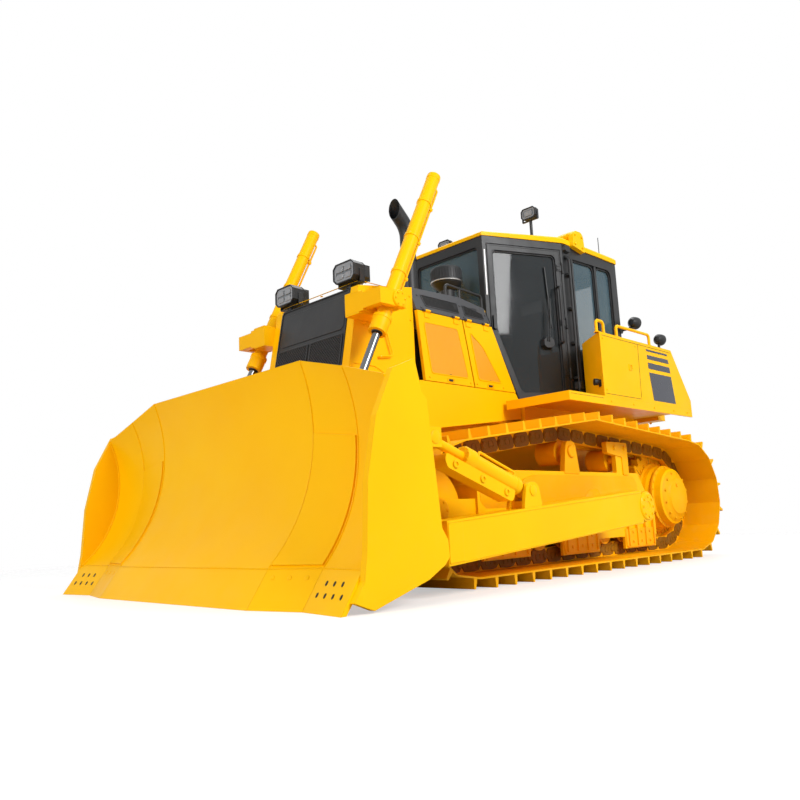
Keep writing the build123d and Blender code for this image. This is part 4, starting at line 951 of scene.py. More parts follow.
def makeCabDetail():
    black, seals, pale, brackets = bmesh.new(), bmesh.new(), bmesh.new(), bmesh.new()
    for side in (1, -1):
        addCabSide(black, seals, pale, brackets, side)
    # corners and seals of the windscreen and the rear window, with the front wiper
    front = plane(cab["front"], 0, 0, leftDir, upDir, foreDir)
    windscreen = rectangle(*cab["windscreen"])
    addCorners(black, front, windscreen, 50.0, -60.0, 0.0)
    addFrameRing(seals, front, roundCorners(windscreen, 50.0), 14.0, -30.0, -16.0)
    wiperArm = [(60, 2345, 8), (60, 2345, -16), (-160, 2800, -16)]
    addTube(black, [onPlane(front, *point) for point in wiperArm], 5.0)
    addSlab(black, front, [(-170, 2420), (-158, 2420), (-150, 2910), (-162, 2910)], -24.0, -14.0)
    behind = plane(cab["rear"], 0, 0, leftDir, upDir, -foreDir)
    rearWindow = rectangle(*cab["rearWindow"])
    addCorners(black, behind, rearWindow, 60.0, -60.0, 0.0)
    addFrameRing(seals, behind, roundCorners(rearWindow, 60.0), 14.0, -30.0, -16.0)
    # aerial at the roof's rear
    addTube(black, [at(*aerial["foot"]), at(*aerial["tip"])], 4.0)
    addLathe(black, at(*aerial["foot"]), upDir, aerial["base"], 16)
    addPiece("cabFittings", black, "blackPaint", "tractor", soften=1.5)
    addPiece("cabSeals", seals, "rubber", "tractor")
    addPiece("pillarStrips", pale, "paleTrim", "tractor")
    addPiece("roofBrackets", brackets, "yellowPaint", "tractor", soften=2.0)


roof = {
    "plan": [(cab["front"] + 8, 455.0), (885.0, 812.0), (-134.0, 812.0), (-236.0, 646.0)], "middle": 700.0,
    "levels": [
        # share of the plan, height at the front, height behind
        (1.0, 3056.0, 3056.0), (1.0, 3086.0, 3098.0), (0.985, 3098.0, 3116.0), (0.95, 3106.0, 3130.0),
        (0.86, 3112.0, 3139.0), (0.4, 3116.0, 3140.0),
    ],
    "ribs": (-330.0, 0.0, 330.0),
}


def makeRoof():
    # hexagonal roof with a soft crown and a lower front
    panel, ribs, middle = bmesh.new(), bmesh.new(), roof["middle"]
    ring = roof["plan"] + [(u, -v) for u, v in reversed(roof["plan"])]
    rows = []
    for share, frontZ, rearZ in roof["levels"]:
        row = []
        for u, v in ring:
            z = frontZ if u > 1400 else rearZ
            row.append(panel.verts.new(at(middle + (u - middle) * share, v * share, z)))
        rows.append(row)
    for a, b in zip(rows, rows[1:]):
        for k in range(len(ring)):
            j = (k + 1) % len(ring)
            panel.faces.new((a[k], a[j], b[j], b[k]))
    panel.faces.new(rows[0])
    panel.faces.new(rows[-1])
    addPiece("roofPanel", panel, "yellowPaint", "tractor", ("cab_roof",), smoothAngle=28.0)
    for v in roof["ribs"]:
        top = plane(0, v, 3136.0, foreDir, leftDir, upDir)
        addSlab(ribs, top, rectangle(-60, -46, 620, 46, 30.0), 0.0, 12.0, 8.0)
    addPiece("roofRibs", ribs, "yellowPaint", "tractor")


# ---- seat and levers ----
seatPads = {
    # rear and front station, lower and upper height, half width
    "seatCushion": {"stations": (352.0, 846.0), "heights": (1835.0, 1976.0), "half": 246.0},
    "seatBack": {"stations": (272.0, 398.0), "heights": (1915.0, 2612.0), "half": 232.0},
}
padShape = {"cuts": 5, "rim": 0.10, "channel": 0.03, "channelAt": 0.55, "channelWide": 0.09, "fill": 0.8}
lever = {"station": 800, "y": 400, "foot": 2061,
         "profile": [(34, 0), (34, 10), (18, 34), (11, 60), (11, 130), (24, 140), (27, 190), (18, 216),
                     (0, 220)]}


def makePad(name, size):
    pad = bmesh.new()
    bmesh.ops.create_cube(pad, size=1.0)
    bmesh.ops.subdivide_edges(pad, edges=pad.edges, cuts=padShape["cuts"], use_grid_fill=True)
    (rear, front), (low, high) = size["stations"], size["heights"]
    for vert in pad.verts:
        # full middle, soft rounded rim, and two stitched channels
        u, v, w = vert.co.x * 2, vert.co.y * 2, vert.co.z * 2
        fourth = [abs(value) ** 4 for value in (u, v, w)]
        corner = fourth[0] * fourth[1] + fourth[1] * fourth[2] + fourth[0] * fourth[2]
        rim = 1 - padShape["rim"] * corner
        apart = (abs(v) - padShape["channelAt"]) / padShape["channelWide"]
        drawn = rim - padShape["channel"] * math.exp(-apart ** 2)
        vert.co.x = fx((rear + front) / 2) + u * (front - rear) / 2000 * drawn
        vert.co.y = v * size["half"] / 1000 * rim
        vert.co.z = (low + high) / 2000 + w * (high - low) / 2000 * drawn
    piece = addPiece(name, pad, "seatCloth", "tractor", ("seat",), smoothAngle=80.0)
    fullness = piece.modifiers.new("fullness", "SUBSURF")
    fullness.levels = 2
    fullness.render_levels = 2


def makeSeat():
    for name, size in seatPads.items():
        makePad(name, size)
    base, levers = bmesh.new(), bmesh.new()
    addSlab(base, sidePlane(-180.0), rectangle(430, 1501, 790, 1836, 30.0), 0.0, 360.0)
    for side in (1, -1):
        armrest = plane(0, side * 280.0, 1990.0, foreDir, leftDir, upDir)
        addSlab(base, armrest, rectangle(330, -35, 690, 35, 20.0), 0.0, 50.0, 8.0)
        post = [at(345, side * 244, 1960), at(345, side * 280, 1960), at(345, side * 280, 2000)]
        addTube(base, smoothPath(post, 20), 12.0)
    addPiece("seatBase", base, "greyPaint", "tractor", soften=3.0)
    for side in (1, -1):
        foot = at(lever["station"], side * lever["y"], lever["foot"])
        addLathe(levers, foot, upDir, lever["profile"], 20)
        console = plane(0, side * lever["y"], lever["foot"], foreDir, leftDir, upDir)
        addSlab(levers, console, rectangle(430, -40, 680, 40, 14.0), 0.0, 8.0)
    for y in (-260.0, 0.0, 260.0):
        pedal = plane(1240, y, 0, leftDir, upDir, -foreDir)
        addSlab(levers, pedal, rectangle(-70, 2140, 70, 2330, 12.0), 0.0, 10.0, 4.0)
    addPiece("cabLevers", levers, "rubber", "tractor", soften=1.5)


# ---- boxes, fenders, tank ----
stripes = [
    # outline on the box's side: station and height, from the thin top stripe down
    [(262.0, 1992.0), (-170.0, 1992.0), (-176.0, 1972.0), (258.0, 1972.0)],
    [(257.0, 1936.0), (-183.0, 1936.0), (-192.0, 1894.0), (252.0, 1894.0)],
    [(250.0, 1860.0), (-198.0, 1860.0), (-208.0, 1800.0), (244.0, 1800.0)],
    [(241.0, 1764.0), (-214.0, 1764.0), (-262.0, 1492.0), (196.0, 1492.0)],
]
box = {
    "y": 1250.0, "top": 2045.0, "seamR": 2.2, "railY": 1215.0, "railFeet": (970.0, 1090.0, 110.0, 740.0),
    "seams": [[(420, 2015), (440, 1500)], [(1080, 2016), (-240, 2016)], [(1080, 1486), (440, 1486)]],
    "handle": [(600, 1790, 4), (600, 1790, 20), (596, 1752, 20)],
    "bolts": ((1060.0, 1990.0), (1060.0, 1520.0), (470.0, 1990.0)),
    "fenderBolts": (1000.0, 600.0, 200.0, -200.0, -500.0),
}
step = {"ribs": 12, "first": 1150, "pitch": 42, "wide": 14, "y": 920.0, "z": 1461.0}


def makeBoxes():
    paint, metal, seam = bmesh.new(), bmesh.new(), bmesh.new()
    for side in (1, -1):
        face, facing = sidePlane(box["y"], side), leftDir * side
        for outline in stripes:
            addSlab(paint, face, outline, -0.5, 1.2)
        # door seams of the box, latch and bolts
        for line in box["seams"]:
            addTube(seam, [onPlane(face, *point) for point in line], box["seamR"], 6)
        addSlab(metal, face, rectangle(566, 1740, 630, 1806, 10.0), 0.0, 5.0, 3.0)
        addTube(metal, smoothPath([onPlane(face, *point) for point in box["handle"]], 8), 5.0, 8)
        for u, v in box["bolts"]:
            addBolt(metal, onPlane(face, u, v), facing, 8.0, 6.0)
        for u in box["fenderBolts"]:
            addBolt(metal, onPlane(face, u, 1422.0), facing, 9.0, 7.0)
        lid = plane(0, side * 1080.0, box["top"], foreDir, leftDir, upDir)
        inner, outer = -150 * side, 140 * side
        addSlab(metal, lid, [(440, inner), (810, inner), (1050, outer), (440, outer)], 0.0, 5.0, 4.0)
        addSlab(metal, lid, rectangle(-240, -150, 400, 150, 30.0), 0.0, 5.0, 4.0)
        for station in box["railFeet"]:
            foot = at(station, side * box["railY"], box["top"])
            addLathe(metal, foot, upDir, [(26, 0), (26, 6), (16, 12), (14, 12)], 20)
        # step plate with ribs on the fender's front
        tread = plane(0, side * step["y"], step["z"], foreDir, leftDir, upDir)
        for k in range(step["ribs"]):
            u = step["first"] + k * step["pitch"]
            addSlab(metal, tread, rectangle(u, -280, u + step["wide"], 290, 3.0), 0.0, 5.0, 2.0)
        addTube(seam, [onPlane(face, 1650, 1440), onPlane(face, 1130, 1440)], 1.8, 6)
    addPiece("boxStripes", paint, "stripePaint", "tractor")
    addPiece("boxFittings", metal, "yellowPaint", "tractor", soften=1.5)
    addPiece("boxSeams", seam, "jointsAndPaintedShade", "tractor")


tank = {"rear": -780.0, "border": (-780, 1430, 780, 1780), "cap": (-420.0, 520.0, 1974.0),
        "capShape": [(70, 0), (70, 16), (58, 22), (58, 40), (50, 46), (0, 46)], "bolts": (1400.0, 1560.0)}
caseBolts = {"rear": -650.5, "across": (-330.0, -200.0, 200.0, 330.0), "heights": (860.0, 1240.0)}


def makeRear():
    trim = bmesh.new()
    face = plane(tank["rear"], 0, 0, leftDir, upDir, -foreDir)
    addFrameRing(trim, face, roundCorners(rectangle(*tank["border"]), 40.0), 9.0, 0.0, 5.0)
    addLathe(trim, at(*tank["cap"]), upDir, tank["capShape"], 32)
    for y in caseBolts["across"]:
        for z in caseBolts["heights"]:
            addBolt(trim, at(caseBolts["rear"], y, z), -foreDir, 16.0, 12.0)
    for side in (1, -1):
        for z in tank["bolts"]:
            addBolt(trim, at(tank["rear"], side * 700.0, z), -foreDir, 12.0, 9.0)
    addPiece("rearFittings", trim, "yellowPaint", "tractor", soften=1.5)


# ---- blade: the face is ruled between three curved sections on each side ----
edgeHeight, edgeAngle = 215.0, math.radians(55.0)
edgeRun = edgeHeight / math.tan(edgeAngle)
bladeSections = [
    # side, upper edge, deepest point of the face, tip of the cutting edge: stations and heights
    (950.0, (4221.0, 1463.0), (4150.0, 800.0), 4632.0),
    (1340.0, (4216.0, 1362.0), (4116.0, 760.0), 4545.0),
    (1722.0, (4236.0, 1245.0), (4160.0, 700.0), 4600.0),
]
bladeTrim = {
    "steps": 20, "welds": ((950.0, 1.0, 5.0), (1340.0, 1.0, 5.0), (1716.0, 3.0, 7.0)),      # Y, lift, radius
    "slotsLow": (70.0, 150.0, 230.0, 310.0), "slotsHigh": (110.0, 190.0, 270.0),
    "plugs": (70.0, 195.0, 320.0),
    "seam": (0.0, 950.0, 1340.0, 1716.0),
}
wingLiner = {"from": 0.34, "to": 0.985, "rows": 12, "across": (966.0, 1150.0, 1330.0),
             "stands": 12.0, "sinks": -2.0}
bladeBosses = [
    # station, height, the two Y, sides and profile of its caps
    (3910.0, 283.0, (1540.0, 1700.0), 28, [(62, -6), (62, 2), (54, 6), (0, 6)]),
    (3800.0, 925.0, (1555.0, 1672.0), 24, [(40, -6), (40, 4), (34, 7), (0, 7)]),
    (3895.0, 800.0, (lift["y"] - 64, lift["y"] + 60), 24, [(46, -6), (46, 6), (40, 9), (0, 9)]),
]
bladeRear = {
    "face": 4022.0, "beams": [(430.0, 640.0, 70.0, 1290.0), (985.0, 1105.0, 80.0, 1250.0)],
    "ribs": (-1180.0, -940.0, -560.0, -190.0, 190.0, 560.0, 940.0, 1180.0),
    "rib": [(4022.0, 560.0), (3972.0, 620.0), (3972.0, 1010.0), (4022.0, 1090.0)], "ribWide": 22.0,
}


def arcThrough(a, b, c):
    # centre, radius, start angle and turn of the arc through three points
    d = 2 * (a[0] * (b[1] - c[1]) + b[0] * (c[1] - a[1]) + c[0] * (a[1] - b[1]))
    sa, sb, sc = (p[0] ** 2 + p[1] ** 2 for p in (a, b, c))
    u = (sa * (b[1] - c[1]) + sb * (c[1] - a[1]) + sc * (a[1] - b[1])) / d
    v = (sa * (c[0] - b[0]) + sb * (a[0] - c[0]) + sc * (b[0] - a[0])) / d
    start, end = (math.atan2(p[1] - v, p[0] - u) % (2 * math.pi) for p in (a, c))
    return (u, v), math.hypot(a[0] - u, a[1] - v), start, end - start


bladeArcs = [arcThrough(top, deep, (tip - edgeRun, edgeHeight)) for side, top, deep, tip in bladeSections]


def sectionPoint(i, t):
    (u, v), radius, start, turn = bladeArcs[i]
    angle = start + turn * t
    return Vector((u + radius * math.cos(angle), bladeSections[i][0], v + radius * math.sin(angle)))


def facePoint(y, t, out=0.0):
    # point of the blade's face: t runs from 0 at the top to 1 at the cutting edge
    across = abs(y)
    i = 0 if across <= bladeSections[1][0] else 1
    share = max(0.0, (across - bladeSections[i][0]) / (bladeSections[i + 1][0] - bladeSections[i][0]))
    point = sectionPoint(i, t).lerp(sectionPoint(i + 1, t), share)
    (u, v), *rest = bladeArcs[i if share < 0.5 else i + 1]
    point += Vector((u - point.x, 0, v - point.z)).normalized() * out
    return at(point.x, across if y >= 0 else -across, point.z)


def edgePlane(side, i):
    # plane of a cutting edge between two sections: across is sideways, up follows the slope from the tip
    a, b = bladeSections[i], bladeSections[i + 1]
    along = Vector((b[3] - a[3], side * (b[0] - a[0]), 0)).normalized()
    up = Vector((-math.cos(edgeAngle), 0, math.sin(edgeAngle)))
    out = up.cross(along) if up.cross(along).x > 0 else along.cross(up)
    return at(a[3], side * a[0], 0), along, up, out


def addWingLiner(liners, side):
    # plate that stands off the face of a wing
    count, across = wingLiner["rows"], wingLiner["across"]
    top, low = [], []
    for k in range(count + 1):
        t = wingLiner["from"] + (wingLiner["to"] - wingLiner["from"]) * k / count
        top.append([facePoint(side * y, t, wingLiner["stands"]) for y in across])
        low.append([facePoint(side * y, t, wingLiner["sinks"]) for y in across])
    top, low = ([[liners.verts.new(point) for point in row] for row in rows] for rows in (top, low))
    for k in range(count):
        for m in range(2):
            for rows in (top, low):
                liners.faces.new((rows[k][m], rows[k][m + 1], rows[k + 1][m + 1], rows[k + 1][m]))
        for m in (0, 2):
            liners.faces.new((top[k][m], top[k + 1][m], low[k + 1][m], low[k][m]))
    for k in (0, count):
        for m in range(2):
            liners.faces.new((top[k][m], top[k][m + 1], low[k][m + 1], low[k][m]))


def makeBladeDetail():
    trim, liners, holes = bmesh.new(), bmesh.new(), bmesh.new()
    steps = bladeTrim["steps"]
    for side in (1, -1):
        for y, raised, radius in bladeTrim["welds"]:
            addTube(trim, [facePoint(side * y, t / steps, raised) for t in range(steps + 1)], radius, 8)
        addWingLiner(liners, side)
        # slots of the end bits, drawn as near-black patches of painted shade, and plugs of the side edges
        bit, edge = edgePlane(side, 1), edgePlane(side, 0)
        for row, v in ((bladeTrim["slotsLow"], 88), (bladeTrim["slotsHigh"], 160)):
            for u in row:
                addSlab(holes, bit, rectangle(u - 9, v, u + 9, v + 32, 7.0), -1.0, 1.6)
        for u in bladeTrim["plugs"]:
            addLathe(trim, onPlane(edge, u, 205.0), edge[3], [(15, 0), (15, 2.5), (11, 3.5), (0, 3.5)], 20)
        # seam between the edges and the moldboard
        addTube(trim, [facePoint(side * y, 1.0, 1.0) for y in bladeTrim["seam"]], 4.0, 6)
        # pin bosses of the push arm, the tilt strut and the lift cylinder
        for station, z, places, sides, cap in bladeBosses:
            for y in places:
                addLathe(trim, at(station, side * y, z), leftDir * side, cap, sides)
    addPiece("bladeTrim", trim, "yellowPaint", "dozer")
    addPiece("wingLiners", liners, "yellowPaint", "dozer", smoothAngle=30.0)
    addPiece("edgeSlotShade", holes, "jointsAndPaintedShade", "dozer")
    # box beams and ribs across the rear
    back, rear = bmesh.new(), bladeRear["face"]
    for low, high, reach, half in bladeRear["beams"]:
        beam = [(rear, low), (rear - reach, low + 30), (rear - reach, high - 30), (rear, high)]
        addSlab(back, sidePlane(-half), beam, 0.0, half * 2)
    for y in bladeRear["ribs"]:
        addSlab(back, sidePlane(y - bladeRear["ribWide"] / 2), bladeRear["rib"], 0.0, bladeRear["ribWide"])
    addPiece("bladeBack", back, "yellowPaint", "dozer", soften=4.0)


# ---- push arms and tilt struts: distances on a strut are counted from its lower pin ----
arm = {"pin": (1400.0, 480.0), "y": 1700.0, "bolts": 8,
       "weldEnds": ((1490.0, 473), (3760.0, 311)), "weldOff": 116,
       "cap": [(108, 0), (108, 14), (98, 22), (40, 22), (34, 16), (0, 16)],
       "plate": [(3640, 205), (3766, 196), (3766, 424), (3640, 433)]}
clevis = {"outline": [(2790, 440), (3020, 430), (2970, 640), (2930, 668), (2870, 668), (2830, 640)],
          "wide": 27, "places": ((1540.0, -1), (1663.0, 1)), "pinCap": [(36, 0), (36, 5), (30, 8), (0, 8)]}
tilt = {
    "low": (2900.0, 610.0), "high": (3800.0, 925.0), "y": 1615.0,
    "guard": [(170, -132), (800, -132), (834, -96), (834, -50), (150, -50), (150, -104)],
    "guardHalf": 52.0, "guardCaps": (235.0, 480.0, 740.0),
    "capShape": [(25, 0), (25, 9), (21, 12), (13, 12), (12, 4), (0, 4)],
    "closedEnd": (92.0, [(30, 0), (50, 2), (62, 14), (62, 44), (58, 48)]),
    "gland": (560.0, [(58, 0), (70, 4), (70, 78), (64, 92), (34, 94)]), "glandBolts": 8,
    "pipe": [(150, 40), (150, 76), (520, 76), (520, 50)], "braceNuts": (120.0, 800.0),
}
tiltLength = math.dist(tilt["low"], tilt["high"])
tiltAhead = Vector(((tilt["high"][0] - tilt["low"][0]) / tiltLength, 0,
                    (tilt["high"][1] - tilt["low"][1]) / tiltLength))
tiltUp = Vector((-tiltAhead.z, 0, tiltAhead.x))


def strutPlane(side):
    return at(tilt["low"][0], side * tilt["y"], tilt["low"][1]), tiltAhead, tiltUp, leftDir


def makeArms():
    arms, guard, brace = bmesh.new(), bmesh.new(), bmesh.new()
    for side in (1, -1):
        facing, (station, z) = leftDir * side, arm["pin"]
        # trunnion cap with its bolts
        cap = at(station, side * (arm["y"] - 10), z)
        addLathe(arms, cap, facing, arm["cap"], 40)
        addBoltRing(arms, cap, facing, 78.0, arm["bolts"], (11.0, 9.0), raised=21.0)
        # weld lines along the arm, and its end plate
        for off in (-arm["weldOff"], arm["weldOff"]):
            ends = [at(u, side * (arm["y"] + 0.5), v + off) for u, v in arm["weldEnds"]]
            addTube(arms, ends, 4.0, 6)
        addSlab(arms, sidePlane(arm["y"], side), arm["plate"], 0.0, 6.0, 3.0)
        # clevis cheeks of the strut's lower pin
        for y, way in clevis["places"]:
            cheek = roundCorners(clevis["outline"], 26.0)
            addSlab(arms, sidePlane(y, side), cheek, 0.0, clevis["wide"])
            pin = at(tilt["low"][0], side * (y + (clevis["wide"] if way > 0 else 0)), tilt["low"][1])
            addLathe(arms, pin, facing * way, clevis["pinCap"], 24)
    addPiece("armFittings", arms, "yellowPaint", "dozer", soften=1.5)
    strut = strutPlane(1)
    addSlab(guard, strut, roundCorners(tilt["guard"], 16.0), -tilt["guardHalf"], tilt["guardHalf"])
    for u in tilt["guardCaps"]:
        addLathe(guard, onPlane(strut, u, -90, 51), leftDir, tilt["capShape"], 24)
    for along, profile in (tilt["closedEnd"], tilt["gland"]):
        addLathe(guard, onPlane(strut, along, 0), tiltAhead, profile, 36)
    addBoltRing(guard, onPlane(strut, 651.0, 0), tiltAhead, 56.0, tilt["glandBolts"], (6.0, 8.0), first=0.5,
                across=tiltUp, up=leftDir)
    addTube(guard, smoothPath([onPlane(strut, u, v, 20) for u, v in tilt["pipe"]], 26), 9.0)
    addPiece("tiltFittings", guard, "yellowPaint", "dozer", soften=2.0)
    for along in tilt["braceNuts"]:
        nut = [(46, 0), (54, 2), (54, 34), (46, 36)]
        addLathe(brace, onPlane(strutPlane(-1), along, 0), tiltAhead, nut, 6)
    addPiece("braceNuts", brace, "yellowPaint", "dozer")


# ---- tracks: the pins run round four wheels, as in the solids ----
track = {
    "count": 45, "shoeFace": 70.0, "railMiddle": 70.0, "railOuter": 95.0, "railDrop": 63.0,
    "lug": 65.0, "shoe": 12.0, "pinHeight": 58.0, "boltAt": (78.0, 142.0),
    "sprocketR": 440.6, "rollerR": 95.3, "idlerR": 374.0, "carrierR": 101.0,
    "pinCap": [(29, -8), (29, 3), (23, 4), (20, 9), (0, 9)],
}
pinLine = track["lug"] + track["shoe"] + track["pinHeight"]
axleZ = pinLine + track["sprocketR"]
idler, carriers = (3285.0, 509.0), [(1673.0, 955.0), (900.0, 1015.0)]
wheels = [
    # station, height, radius of the pin path
    (0.0, axleZ, track["sprocketR"]),
    (2740.0, pinLine + track["railDrop"] + track["rollerR"], track["rollerR"] + track["railDrop"]),
    (*idler, track["idlerR"]),
    (*carriers[0], track["carrierR"] + track["railDrop"]),
]


def arcOfBelt(wheel, start):
    # point of the belt on a wheel, by its distance past the start angle
    station, z, radius = wheel
    return lambda d: Vector((station + radius * math.cos(start + d / radius),
                             z + radius * math.sin(start + d / radius)))


def straightOfBelt(a, b):
    return lambda d: a.lerp(b, d / (b - a).length)


def beltRuns():
    # arcs and straight runs of the belt round the wheels, as (length, function of distance)
    normals = []
    for first, second in zip(wheels, wheels[1:] + wheels[:1]):
        length = math.hypot(second[0] - first[0], second[1] - first[1])
        u, w = (second[0] - first[0]) / length, (second[1] - first[1]) / length
        k = (first[2] - second[2]) / length
        side = math.sqrt(1 - k * k)
        normals.append((u * k + w * side, w * k - u * side))
    runs = []
    for i, (wheel, following) in enumerate(zip(wheels, wheels[1:] + wheels[:1])):
        comes, goes = normals[i - 1], normals[i]
        start = math.atan2(comes[1], comes[0])
        turn = (math.atan2(goes[1], goes[0]) - start) % (2 * math.pi)
        a, b = (Vector((station + radius * goes[0], z + radius * goes[1]))
                for station, z, radius in (wheel, following))
        runs.append((wheel[2] * turn, arcOfBelt(wheel, start)))
        runs.append(((b - a).length, straightOfBelt(a, b)))
    return runs


def beltPins():
    runs = beltRuns()
    total = sum(length for length, point in runs)
    offset = sum(length for length, point in runs[:6]) + runs[6][0] / 2
    pins = []
    for i in range(track["count"]):
        distance = (offset + i * total / track["count"]) % total
        for length, point in runs:
            if distance <= length:
                pins.append(point(distance))
                break
            distance -= length
    return pins


def addLink(links, bolts, middle, pin, following):
    # both side plates of a link, with their pin caps and the bolts of its shoe
    along, pitch = (following - pin).normalized(), (following - pin).length
    ahead, out = Vector((along.x, 0, along.y)), Vector((along.y, 0, -along.x))
    outline = [(-30, -22), (-14, -54), (34, -60), (pitch - 60, -60), (pitch - 34, -44), (pitch - 30, 14),
               (pitch - 52, 50), (40, 54), (-8, 46), (-30, 12)]
    for face in (1, -1):
        facing = leftDir * face
        plate = (at(pin.x, middle + face * track["railOuter"], pin.y), ahead, out, facing)
        addSlab(links, plate, outline, -1.0, 7.0, 5.0)
        addLathe(links, onPlane(plate, 0, 0, 7), facing, track["pinCap"], 14)
        # raised seat round the link's two bolts
        addFrameRing(links, plate, rectangle(pitch * 0.30, -26, pitch * 0.60, 26, 9.0), 7.0, 6.0, 10.0)
        rail = (at(pin.x, middle + face * track["railMiddle"], pin.y), ahead, out, facing)
        for u in track["boltAt"]:
            addBolt(bolts, onPlane(rail, u, track["shoeFace"]), out, 12.0, 11.0)


def makeTracks():
    pins = beltPins()
    for side, name in bothSides:
        links, bolts = bmesh.new(), bmesh.new()
        for pin, following in zip(pins, pins[1:] + pins[:1]):
            addLink(links, bolts, side * halfGauge, pin, following)
        # the links take the dark brown-orange copy of the yellow, painted shade
        addPiece("trackLinks" + name.capitalize(), links, "linkYellowPaintedShade", "tractor", smoothAngle=40.0)
        addPiece("shoeBolts" + name.capitalize(), bolts, "trackPaintDustAndShade", "tractor")


# ---- sprockets and final drives: radii and distances out from the middle of the track ----
drive = {
    "bolts": [
        # radius of the ring, distance out, count, turn by a share of a step, head
        (345.0, 34.0, 27, 0.5, (12.0, 12.0)),
        (285.0, 159.0, 24, 0.0, (9.0, 9.0)),
        (215.0, 255.0, 12, 0.5, (11.0, 10.0)),
    ],
    "rings": [
        [(302, 36), (330, 36), (330, 46), (302, 50)],
        [(276, 140), (298, 142), (298, 160), (272, 166)],
        [(264, 214), (240, 240), (206, 262), (178, 272), (170, 282), (120, 294), (60, 300), (0, 302)],
    ],
    "segments": 9, "seam": (312, -2, 408, 2), "plug": (50.0, 100.0, 290.0),
}


def makeDrives():
    hubs, dark = bmesh.new(), bmesh.new()
    for side in (1, -1):
        axle, out = at(0, side * halfGauge, axleZ), leftDir * side
        for radius, raised, count, first, head in drive["bolts"]:
            addBoltRing(hubs, axle, out, radius, count, head, raised, first)
        for k in range(drive["segments"]):
            angle = 2 * math.pi * k / drive["segments"]
            spoke = foreDir * math.cos(angle) + upDir * math.sin(angle)
            addSlab(dark, (axle, spoke, spoke.cross(out), out), rectangle(*drive["seam"]), 34.0, 36.0)
        for profile in drive["rings"]:
            addLathe(hubs, axle, out, profile, 48)
        plug = onPlane((axle, foreDir, upDir, out), *drive["plug"])
        addLathe(hubs, plug, out, [(20, 0), (20, 12), (14, 16), (0, 16)], 6)
    addPiece("hubFittings", hubs, "trackPaintDustAndShade", "tractor")
    addPiece("sprocketSeams", dark, "jointsAndPaintedShade", "tractor")


# ---- track frames ----
trackFrame = {
    "half": 190.0, "guardTop": 300.0, "guardRibs": 4, "ribTop": 410.0,
    # rear station, front station, lower edge of each roller guard
    "guards": [(370.0, 920.0, 130.0), (1350.0, 1890.0, 130.0), (2320.0, 2870.0, 150.0)],
    "recoil": [(0, 0), (150, 4), (206, 30), (206, 560), (190, 620), (150, 634)], "recoilAt": (2250.0, 600.0),
    "cover": [(640, 470), (2380, 470), (2380, 720), (2200, 760), (700, 760), (640, 700)],
    "coverBolts": (690.0, 1000.0, 1700.0, 2050.0, 2330.0),
    "trunnion": [(168, 0), (168, 22), (150, 34), (112, 60), (108, 150), (100, 180)],
    "idlerCap": [(86, 0), (86, 16), (76, 24), (30, 26), (0, 26)],
    "frontPost": [(1560, 770), (1790, 770), (1745, 1010), (1720, 1040), (1630, 1040), (1600, 1010)],
    "rearPost": [(760, 770), (860, 770), (860, 930), (1110, 960), (1110, 1060), (760, 1060)],
    "postCap": [(52, 0), (52, 10), (44, 16), (0, 16)], "rearPostBolts": (815.0, 985.0),
}
roller = {"first": 500.0, "pitch": 320.0, "count": 8, "half": 166.0, "boltOff": 50.0,
          "cap": [(48, -30), (48, 4), (40, 8), (16, 8), (14, 4), (0, 4)]}


def addRollerGuard(metal, face, rear, front, low):
    # stepped guard with ribs and bolts
    high, last = trackFrame["guardTop"], trackFrame["guardRibs"] - 1
    outline = [(rear + 20, low + 6), (front - 20, low + 6), (front - 6, low + 60), (front - 6, high),
               (rear + 6, high), (rear + 6, low + 60)]
    addSlab(metal, face, roundCorners(outline, 14.0), 0.0, 12.0, 8.0)
    gap = (front - rear - 100) / last
    for k in range(last + 1):
        u = rear + 50 + gap * k
        addSlab(metal, face, rectangle(u - 9, low + 20, u + 9, trackFrame["ribTop"], 4.0), 0.0, 24.0, 4.0)
        if k < last:
            for v in (low + 60, 270.0):
                addBolt(metal, onPlane(face, u + gap / 2, v, 11.0), face[3], 13.0, 11.0)


def addRollerCaps(rollers, side):
    off = roller["boltOff"]
    for k in range(roller["count"]):
        for end in (1, -1):
            station, y = roller["first"] + k * roller["pitch"], side * halfGauge + end * roller["half"]
            face = plane(station, y, wheels[1][1], foreDir, upDir, leftDir * end)
            addLathe(rollers, face[0], face[3], roller["cap"], 24)
            for u in (-off, off):
                addBolt(rollers, onPlane(face, u, off), face[3], 11.0, 12.0)


